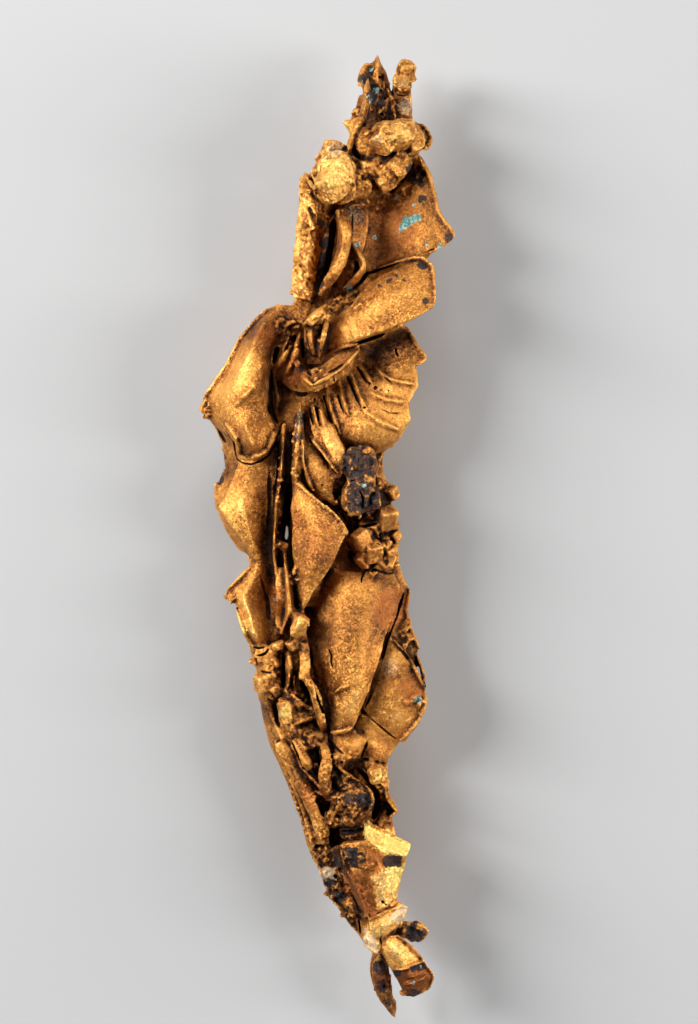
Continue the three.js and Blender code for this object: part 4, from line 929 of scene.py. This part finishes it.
# %% [markdown]
# ## Keeping the height, pointing the spike
# Lumps that rose above the solid's top are pressed down to it. The last two millimetres are squeezed more
# and more, so that nothing is cut off flat, and the underside is kept on the table. The spike at the lower
# tip is a blade: its points are moved away from or towards its middle line, wider halfway and narrow at the
# end.

# %% Move the points
PRESSED = 2 * MM
TIP_Y = [0.3, 1.6, 3, 5.4, 8]
TIP_MIDDLE = [24.2, 23.7, 23.1, 22.4, 22.2]
TIP_WIDTH = [0.3, 0.75, 1.15, 1.3, 1]
TIP_REACH = 1.6

co = corners(skin.data)
knee = cad_high.z - PRESSED
above = np.maximum(co[:, 2] - knee, 0)
co[:, 2] = np.clip(co[:, 2], 0, knee) + PRESSED * np.tanh(above / PRESSED)
x, y = places(skin.data)
away = x - np.interp(y, TIP_Y, TIP_MIDDLE)
on_spike = np.clip((TIP_REACH - abs(away)) / 0.5, 0, 1)
co[:, 0] += away * (np.interp(y, TIP_Y, TIP_WIDTH) - 1) * on_spike * MM
skin.data.vertices.foreach_set("co", co.ravel())
skin.data.update()
print("highest point, mm:", round(float(co[:, 2].max()) / MM, 2))

# %% [markdown]
# ## How hidden each point is
# Crevices get painted shade, darker the more hidden a point is, and points on ridges are painted lighter.
# Rays sent out from each point over the half sphere above it, no further than a few millimetres, tell how
# hidden it is.
# How far a point stands above the middle of its neighbours tells whether it is on a ridge.

# %% Cast rays from every point
REACH = 3.5 * MM
CLEAR_OF_SKIN = 0.03 * MM
SPREAD = 0.92
RIDGE_HEIGHT = 0.2 * MM


def hiddenness(mesh, rays=14):
    tree = BVHTree.FromPolygons([v.co for v in mesh.vertices], [p.vertices[:] for p in mesh.polygons])
    golden = pi * (3 - 5**0.5)
    ways = []
    for n in range(rays):
        up = 1 - (n + 0.5) / rays * SPREAD
        out = (1 - up * up) ** 0.5
        ways.append(Vector((out * cos(golden * n), out * sin(golden * n), up)))
    hidden = np.zeros(len(mesh.vertices), np.float32)
    for n, v in enumerate(mesh.vertices):
        turn = v.normal.to_track_quat("Z", "Y")
        start = v.co + v.normal * CLEAR_OF_SKIN
        for way in ways:
            distance = tree.ray_cast(start, turn @ way, REACH)[3]
            if distance is not None:
                hidden[n] += 1 - distance / REACH
    return hidden / rays


def ridge(mesh, rounds=3):
    co = corners(mesh).astype(np.float64)
    above = ((co - neighbours_mean(mesh, co, rounds)) * facing(mesh)).sum(1)
    return np.clip(0.5 + above / RIDGE_HEIGHT, 0, 1)


def write_attribute(mesh, name, values):
    attribute = mesh.attributes.new(name, "FLOAT", "POINT")
    attribute.data.foreach_set("value", values.astype(np.float32))


hidden = hiddenness(skin.data)
write_attribute(skin.data, "hidden", hidden)
write_attribute(skin.data, "ridge", ridge(skin.data))
write_attribute(skin.data, "grainy", patch(skin.data, ROUGH_SPOTS, behind=0.4))
print("hidden, mean and most:", round(float(hidden.mean()), 2), round(float(hidden.max()), 2))

# %% [markdown]
# ## Where the colours sit
# The copper is golden brown, but not everywhere. Some leaves are a lighter gold, partly their own tone and
# partly painted light where they face the lamps, and a few corners and grains get a painted highlight in
# lemon gold. Some are reddish, some get painted shade where they turn from the lamps, and some parts carry a
# black to purple tarnish, which also serves as painted shadow in valleys and hollows. Pale tan patches are
# painted highlights where whitish glints show. Copper minerals have left a few blue-green specks. Each of
# these is a list of round patches, and the flat faces of the block add their outlines.

# %% Colour patches
COLOUR_SPOTS = {
    # Lighter gold: partly the metal's own tone, partly painted light on leaves and faces turned to the
    # lamps.
    "gold": [
        (3.8, 79.5, 3, 1), (5.5, 62.5, 3, 0.6), (6, 50, 3, 0.9), (7.5, 43.5, 2.5, 0.8),
        (24.5, 78.6, 3, 0.5), (17, 104, 3.4, 1), (24, 40, 2.4, 0.5), (16.5, 101.5, 2, 0.9),
        (16.6, 106, 2, 0.8), (13.4, 101, 2, 0.8), (13, 96, 2, 0.8), (13, 91, 2, 0.8), (24, 90, 4, 0.3),
        (24.4, 108.4, 3, 0.7), (22.6, 104, 2.4, 0.5), (18.2, 54, 2.2, 0.4), (15.4, 62, 3, 0.5),
        (14, 69, 1.6, 0.7), (16.6, 71, 1.4, 0.8), (23.4, 73.6, 3, 0.4), (16.8, 35, 1.4, 0.6),
        (10.4, 36.2, 1, 0.8), (12.5, 48.8, 1.2, 1), (23.2, 45.2, 1.6, 0.8), (22, 30.5, 1, 0.8),
        (19.4, 39.4, 1.8, 0.9), (8.2, 42, 1.4, 0.8), (10.8, 38.2, 1.4, 1), (13, 44.4, 1, 0.8),
        (14.5, 86.4, 1, 0.8), (24.8, 115.3, 1.2, 0.8),
    ],
    # Painted shade on leaves, folds and slits that turn from the lamps.
    "shade": [
        (24.5, 98, 5, 0.5), (21.6, 98, 1.6, 1), (23.5, 82.4, 3, 1), (8.6, 84.4, 3, 0.8),
        (9.6, 78, 2.4, 0.8), (14.6, 59.5, 4, 0.6), (19, 49, 5, 0.45), (24, 51, 3, 1), (23.2, 49, 2.2, 1),
        (22.4, 5.6, 2, 1.4), (23.4, 2.2, 1.6, 1), (22, 112, 3, 0.6), (18, 27, 3.5, 0.6), (12.5, 30, 3, 0.5),
        (10.6, 70, 1.2, 1), (10.6, 66, 1.2, 1), (10.4, 61, 1.2, 0.8), (19.4, 99, 2, 0.8),
        (17.7, 95, 1.4, 0.7), (16.2, 91, 1.2, 0.7), (2.6, 68, 1, 0.8), (26, 42, 3, 0.5), (17, 31, 2, 0.5),
        (12, 80, 2.4, 0.5), (14.2, 83.2, 1, 0.9), (9.2, 38.4, 1.6, 1.3), (7, 70.5, 2, 0.4),
        (16.4, 16.8, 1.8, 1), (15.6, 20, 1.4, 1), (18.4, 12.6, 1.2, 0.8),
    ],
    # Black to purple tarnish, also used as painted shadow in the slab's valley, the hollows and the
    # cavities.
    "tarnish": [
        (19.6, 68.5, 2.6, 0.9), (20.2, 64.5, 2.5, 0.9), (21.6, 114.4, 1, 0.9), (22.4, 112.8, 0.8, 0.8),
        (20.4, 116.6, 0.8, 0.6), (26.6, 104.2, 1.3, 1), (27.6, 103, 0.8, 0.8), (27.5, 101, 0.7, 0.9),
        (30.6, 96.2, 0.7, 1), (27.4, 92.7, 0.7, 1), (27.8, 88.2, 0.5, 1), (24.3, 91.4, 0.5, 0.8),
        (23.4, 90.8, 0.5, 0.8), (25.2, 90.9, 0.4, 0.8), (22.2, 90.2, 0.5, 0.7), (15.2, 98, 0.8, 0.9),
        (15.4, 96, 0.9, 1), (15.4, 94, 0.9, 1), (15.1, 92.4, 0.9, 1), (14.8, 90.6, 0.8, 1),
        (19, 57.2, 0.9, 0.7), (22, 26.5, 1.2, 0.8), (18.5, 27.9, 0.7, 1), (20.1, 27.7, 0.9, 1),
        (26.2, 11.7, 1, 1), (27.2, 11.2, 0.9, 1), (26.4, 10.4, 0.7, 1), (20.3, 116.2, 1.1, 0.8),
        (21.3, 113.4, 0.9, 0.8), (2.6, 69.5, 0.8, 0.9), (2.4, 66.8, 0.8, 0.9), (12.5, 74.2, 1.1, 0.75),
        (12.3, 72, 1, 0.7), (20.2, 20.6, 0.7, 0.7), (17.4, 15.4, 0.8, 1), (16, 17.2, 0.8, 0.9),
        (16.8, 19.8, 0.7, 0.9), (24.4, 6.6, 0.6, 1), (26.4, 3.9, 0.8, 1), (22.2, 7, 1, 0.9),
        (22.5, 4.6, 0.9, 0.9), (23.3, 2.4, 0.6, 0.7), (19, 36, 0.7, 0.6), (13.4, 35, 0.8, 0.4),
        (28, 41.4, 0.6, 0.8), (12.6, 80.2, 0.7, 0.8),
    ],
    "green": [
        (26.5, 100.3, 0.3, 1), (24.4, 101.4, 0.4, 0.9), (21.7, 96.5, 0.35, 0.9), (28, 95.5, 0.35, 0.9),
        (19.5, 95.4, 0.45, 1), (18.5, 90, 0.6, 0.9), (29.6, 95.2, 0.5, 0.9), (21.8, 114.4, 0.5, 0.9),
        (21, 113.2, 0.4, 0.9), (21.2, 117.2, 0.4, 0.8), (20, 115.5, 0.4, 0.8), (2.8, 68, 0.5, 1),
        (16, 65.1, 0.3, 0.9), (12.6, 74.8, 0.7, 0.6), (12.4, 73.4, 0.8, 0.55), (12.4, 72, 0.7, 0.55),
        (9.5, 52, 0.4, 0.8), (26.9, 39.8, 0.6, 0.9), (20.4, 66, 0.7, 0.5), (27.2, 7.3, 0.4, 0.7),
        (26.4, 5.4, 0.4, 0.7),
    ],
    "red": [
        (18.5, 57, 3, 0.7), (23.8, 51, 2.2, 1), (20, 16.8, 2, 0.9), (12, 80, 2, 0.7), (8.6, 52, 2, 0.8),
        (24, 98, 4, 0.6), (15, 59, 3, 0.5), (8.8, 84, 2, 0.6), (26, 41, 2, 0.7), (11.4, 62, 1.4, 0.8),
        (22.6, 5, 2, 0.6), (14, 28, 2.5, 0.6), (27, 5, 1, 0.8),
    ],
    # Painted highlights: lemon-gold glints on corners and grains that catch the light.
    "bright": [
        (16.8, 103.6, 2.8, 0.55), (24.4, 108.6, 2.4, 0.45), (6.2, 48.8, 1.6, 0.55), (12.5, 49, 0.7, 0.5),
        (10.7, 38.5, 0.9, 0.8), (22.2, 30.8, 0.9, 0.5), (13.6, 44.4, 0.7, 0.4),
    ],
    # Painted highlights: pale tan where whitish glints show.
    "pale": [
        (16.8, 106.6, 1.3, 0.8), (22, 107.6, 1, 0.7), (24.9, 115, 0.8, 0.6), (25.6, 112.6, 1.3, 0.9),
        (13.3, 99, 1.6, 0.45), (13, 94, 1.6, 0.45), (12.8, 90, 1.2, 0.5), (15.9, 18.2, 0.8, 2.5),
        (23.4, 43.8, 1.6, 0.7), (24.4, 38, 1.2, 0.5), (19.2, 99, 1.6, 0.6),
    ],
}
SLAB = [(20.5, 24.7), (26.1, 22.5), (25.7, 21.1), (23.1, 21.4), (20.2, 23.2)]
BEHIND_LEAF = [(23.4, 51.6), (24.3, 53.6), (25.1, 52.8), (24.6, 50.6), (23.2, 49.6)]
BLOCK_FRONT = [(18.6, 18.9), (20.9, 18.9), (22, 13.3), (20.2, 13.9)]
BLOCK_SIDE = [(16, 22.2), (17.4, 22.5), (18.8, 19), (20.4, 13.6), (19.8, 12.3), (17.6, 17.5)]
TOOTH = [(23.6, 6.7), (27.9, 7.9), (28.9, 5.6), (26, 3), (25, 4)]
# Outlines of the block's flat faces: faces turned to the lamps get painted light (gold, bright, pale), faces
# turned away get painted shade, and some carry tarnish, red or green.
COLOUR_FACES = {
    "gold": [
        SLAB,
        [(23.1, 19.7), (25.4, 20.1), (24.3, 16.7), (24.1, 15.4), (22, 14.4), (21, 18.4)],
        [(20.9, 12.9), (25.2, 15.2), (25.7, 14.4), (24.8, 12.3), (22.6, 11.2), (22, 8.6), (20.2, 9.9)],
        [(22.4, 10.2), (24.1, 11.2), (27.3, 7.9), (23.6, 6.8)],
    ],
    "green": [[(24.5, 96.8), (25.1, 99.2), (26, 98.9), (27.4, 99.3), (27.3, 98.5), (25.9, 97.8)]],
    "tarnish": [
        [(22.7, 21.1), (24.9, 21.1), (24.9, 19.7), (22.6, 19.8)],
        [(25.7, 7.5), (27.5, 7.8), (28, 7), (26.2, 6.7)],
        [(17.9, 22), (19.5, 22), (19.6, 19.6), (18.8, 19.6)],
    ],
    "red": [
        BEHIND_LEAF,
        BLOCK_FRONT,
        [(20.5, 22.2), (22.8, 21.2), (22.3, 19.1), (20.7, 18.8)],
        TOOTH,
    ],
    "shade": [BEHIND_LEAF, BLOCK_FRONT, BLOCK_SIDE, TOOTH],
    "bright": [SLAB, [(23.1, 19.7), (25.4, 20.1), (24.3, 16.7), (23, 17)]],
    "pale": [
        [(20.4, 11.6), (21.6, 11.2), (22.2, 8.7), (20.2, 9.8)],
        [(23.3, 13.6), (25.2, 15.2), (25.7, 14.4), (24.6, 12.4)],
    ],
}
FACE_STRENGTH = 1.5
for name, spots in COLOUR_SPOTS.items():
    strength = patch(skin.data, spots)
    for outline in COLOUR_FACES.get(name, []):
        strength = np.maximum(strength, FACE_STRENGTH * inside(skin.data, outline))
    write_attribute(skin.data, name, strength)
print("patches:", ", ".join(COLOUR_SPOTS))

# %% [markdown]
# ## Shader maths
# A material is a graph of nodes. So that its sums read as sums, a small class wraps a socket: adding or
# multiplying two of them makes the Math node that does it.

# %% Wrap a socket
class Value:
    def __init__(self, graph, socket):
        self.graph, self.socket = graph, socket

    def _math(self, operation, a, b):
        return self.graph.node("ShaderNodeMath", {"operation": operation}, {0: a, 1: b})

    def __add__(self, other):
        return self._math("ADD", self, other)

    def __sub__(self, other):
        return self._math("SUBTRACT", self, other)

    def __mul__(self, other):
        return self._math("MULTIPLY", self, other)

    def __radd__(self, other):
        return self._math("ADD", other, self)

    def __rsub__(self, other):
        return self._math("SUBTRACT", other, self)

    def __rmul__(self, other):
        return self._math("MULTIPLY", other, self)


class Graph:
    def __init__(self, material):
        self.nodes, self.links = material.node_tree.nodes, material.node_tree.links

    def node(self, kind, settings=None, sockets=None, out=0):
        made = self.nodes.new(kind)
        for setting, value in (settings or {}).items():
            if setting == "stops":
                ramp = made.color_ramp
                while len(ramp.elements) < len(value):
                    ramp.elements.new(0.5)
                for element, (place, colour) in zip(ramp.elements, value):
                    element.position, element.color = place, (*colour, 1)
            else:
                setattr(made, setting, value)
        for name, value in (sockets or {}).items():
            if isinstance(value, Value):
                self.links.new(value.socket, made.inputs[name])
            else:
                made.inputs[name].default_value = value
        return Value(self, made.outputs[out])

    def blend(self, a, b, share):
        a, b = (c if isinstance(c, Value) else (*c, 1) for c in (a, b))
        return self.node("ShaderNodeMix", {"data_type": "RGBA"}, {0: share, 6: a, 7: b}, 2)

    def steps(self, value, low, high):
        limits = {"Value": value, "From Min": low, "From Max": high}
        return self.node("ShaderNodeMapRange", {"interpolation_type": "SMOOTHSTEP"}, limits)

    def attribute(self, name):
        return self.node("ShaderNodeAttribute", {"attribute_name": name}, out="Fac")


print("shader maths ready")

# %% [markdown]
# ## The finish of native copper
# The surface is made of tiny crystals, each a flat facet tilted its own way. A cell texture gives every
# grain its centre and three random numbers. Their product with the way from the centre is a small slope,
# which the bump turns into a facet, so that some grains catch the light and others stay dark.

# %% The material
PALE_GOLD = (1.0, 0.65, 0.23)
LEMON_GOLD = (1.0, 0.72, 0.2)
GOLD = (0.86, 0.43, 0.10)
AMBER = (0.55, 0.225, 0.044)
BROWN = (0.27, 0.10, 0.027)
RED_BROWN = (0.42, 0.13, 0.03)
UMBER = (0.04, 0.015, 0.006)
TARNISH_AND_SHADOW = (0.016, 0.013, 0.020)
BLUE_GREEN = (0.08, 0.26, 0.22)
CHALK_GREEN = (0.42, 0.62, 0.55)
PALE_TAN = (0.84, 0.62, 0.38)

native_copper = bpy.data.materials.new("native_copper")
native_copper.use_nodes = True
native_copper.node_tree.nodes.clear()
g = Graph(native_copper)
place = g.node("ShaderNodeTexCoord", out="Object")
place = g.node("ShaderNodeVectorMath", {"operation": "SCALE"}, {0: place, "Scale": 1 / MM})


def noise(size, detail=3, rough=0.55, out=0):
    return g.node("ShaderNodeTexNoise", None,
                  {"Vector": place, "Scale": 1 / size, "Detail": detail, "Roughness": rough}, out)


def grains(size):
    chance = g.node("ShaderNodeTexVoronoi", None, {"Vector": place, "Scale": 1 / size}, "Color")
    centre = Value(g, g.nodes[-1].outputs["Position"])
    centre = g.node("ShaderNodeVectorMath", {"operation": "SCALE"}, {0: centre, "Scale": size})
    away = g.node("ShaderNodeVectorMath", {"operation": "SUBTRACT"}, {0: place, 1: centre})
    tilt = g.node("ShaderNodeVectorMath", {"operation": "SUBTRACT"}, {0: chance, 1: (0.5, 0.5, 0.5)})
    slope = g.node("ShaderNodeVectorMath", {"operation": "DOT_PRODUCT"}, {0: away, 1: tilt}, "Value")
    return chance, slope


fine_chance, fine_slope = grains(0.15)
big_slope = grains(0.36)[1]
lot = g.node("ShaderNodeSeparateColor", None, {0: fine_chance})

hidden_, ridge_ = g.attribute("hidden"), g.attribute("ridge")
clouds = noise(5.5)
freckles = noise(0.9, 4, 0.65)

speckle = noise(0.16, 2, 0.8)
# Gold and shade patches: partly the metal's own tone, partly painted light on leaves facing the lamps and
# painted shade on those turned away.
gold_and_painted_light = g.attribute("gold") * 0.22 - g.attribute("shade") * 0.24
sparkle = g.attribute("grainy") * (noise(0.4, 3, 0.8) - 0.5)
# Painted shade darkens hidden points in crevices, and points on ridges are painted lighter.
tone = clouds * 0.5 + freckles * 0.4 + lot * 0.16 + speckle * 0.45 + ridge_ * 0.45 - hidden_ * 0.7
tone = tone + gold_and_painted_light + sparkle * 1.35 - 0.55
stops = [(0.05, UMBER), (0.25, BROWN), (0.45, AMBER), (0.70, GOLD), (0.98, PALE_GOLD)]
colour = g.node("ShaderNodeValToRGB", {"stops": stops}, {0: tone})
# Painted highlight: lemon-gold glints on the bright patches.
colour = g.blend(colour, LEMON_GOLD, g.steps(g.attribute("bright") + speckle * 0.6 - 0.3, 0.3, 0.9) * 0.8)
# Painted highlight: pale tan where whitish glints show.
pale = g.steps(g.attribute("pale") * (speckle * 1.6 - 0.1), 0.3, 0.8)
colour = g.blend(colour, PALE_TAN, pale * 0.75)
red = g.steps(g.attribute("red") + noise(1.6) - 0.5, 0.2, 0.7)
colour = g.blend(colour, RED_BROWN, red * 0.6)
# Painted shade: the most hidden points in crevices are blended towards near-black umber.
deep = g.steps(hidden_ + freckles * 0.3, 0.42, 0.75)
colour = g.blend(colour, UMBER, deep * 0.9)
# Tarnish patches: black tarnish on the knobs and rosettes, and painted shadow in valleys and hollows.
tarnish = g.steps(g.attribute("tarnish") * (noise(0.9, 4, 0.7) * 2.4 - 0.4), 0.38, 0.6)
colour = g.blend(colour, TARNISH_AND_SHADOW, tarnish * 0.92)
patina = noise(0.5, 4, 0.7)
green = g.steps(g.attribute("green") * (patina * 3 - 0.75), 0.45, 0.6)
mineral = g.blend(BLUE_GREEN, CHALK_GREEN, g.steps(patina, 0.45, 0.62))
colour = g.blend(colour, mineral, green)

dull = g.steps(green + tarnish * 0.5 + deep * 0.6, 0, 1)
height = fine_slope * 0.5 + big_slope * (g.attribute("grainy") * 0.4 + 0.3) + noise(0.12, 2) * 0.03
normal = g.node("ShaderNodeBump", None, {"Height": height, "Strength": 1.0, "Distance": MM}, "Normal")
shader = g.node(
    "ShaderNodeBsdfPrincipled",
    None,
    {
        "Base Color": colour,
        "Metallic": 0.88 - dull * 0.7 - pale * 0.5,
        "Roughness": 0.46 + freckles * 0.2 + dull * 0.2,
        "Normal": normal,
    },
)
surface_out = g.nodes.new("ShaderNodeOutputMaterial")
g.links.new(shader.socket, surface_out.inputs["Surface"])
skin.data.materials.clear()
skin.data.materials.append(native_copper)
pick(skin)
bpy.ops.object.shade_smooth_by_angle(angle=radians(50))
print("native copper:", len(g.nodes), "nodes")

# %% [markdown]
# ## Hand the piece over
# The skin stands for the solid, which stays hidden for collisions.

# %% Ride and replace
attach(skin, "root")
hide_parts("copper_nugget")
bpy.data.objects.remove(crevices)
print("handed over:", skin.name, "with", len(skin.data.polygons), "triangles")

# %% [markdown]
# ## Table, light and camera
# A pale table, broad soft lights from the left, the right and beyond the upper end, and a camera that looks
# straight down.

# %% Stage
pick(skin)
bpy.ops.mesh.primitive_plane_add(size=3, location=(0, 0, 0))
table = bpy.context.object
table.name = "table"
paint = bpy.data.materials.new("table_paint")
paint.use_nodes = True
paint.node_tree.nodes["Principled BSDF"].inputs["Base Color"].default_value = (0.42, 0.42, 0.42, 1)
paint.node_tree.nodes["Principled BSDF"].inputs["Roughness"].default_value = 0.8
table.data.materials.append(paint)


def soft_light(name, place, size, power, colour=(1, 1, 1)):
    bpy.ops.object.light_add(type="AREA", location=place)
    light = bpy.context.object
    light.name = name
    light.data.shape = "RECTANGLE"
    light.data.size, light.data.size_y = size
    light.data.energy = power
    light.data.color = colour
    aim = Vector((0, 0, 0.01)) - Vector(place)
    light.rotation_euler = aim.to_track_quat("-Z", "Y").to_euler()


soft_light("left_softbox", (-0.40, 0.14, 0.30), (0.14, 0.34), 4.4)
soft_light("right_softbox", (0.42, -0.04, 0.22), (0.10, 0.34), 2.4)
soft_light("far_softbox", (0.04, 0.50, 0.30), (0.24, 0.10), 1.5)
world = bpy.data.worlds.new("studio")
world.use_nodes = True
world.node_tree.nodes["Background"].inputs["Color"].default_value = (0.9, 0.95, 1, 1)
world.node_tree.nodes["Background"].inputs["Strength"].default_value = 0.08
bpy.context.scene.world = world
bpy.context.scene.view_settings.view_transform = "Standard"

bpy.ops.object.camera_add(location=(0.00274, 0.0031, 0.3585), rotation=(0, 0, 0))
camera = bpy.context.object
camera.data.lens = 100
camera.data.sensor_fit = "VERTICAL"
camera.data.sensor_height = 36
camera.data.clip_start = 0.01
bpy.context.scene.camera = camera
print("camera height, mm:", round(camera.location.z / MM, 1))
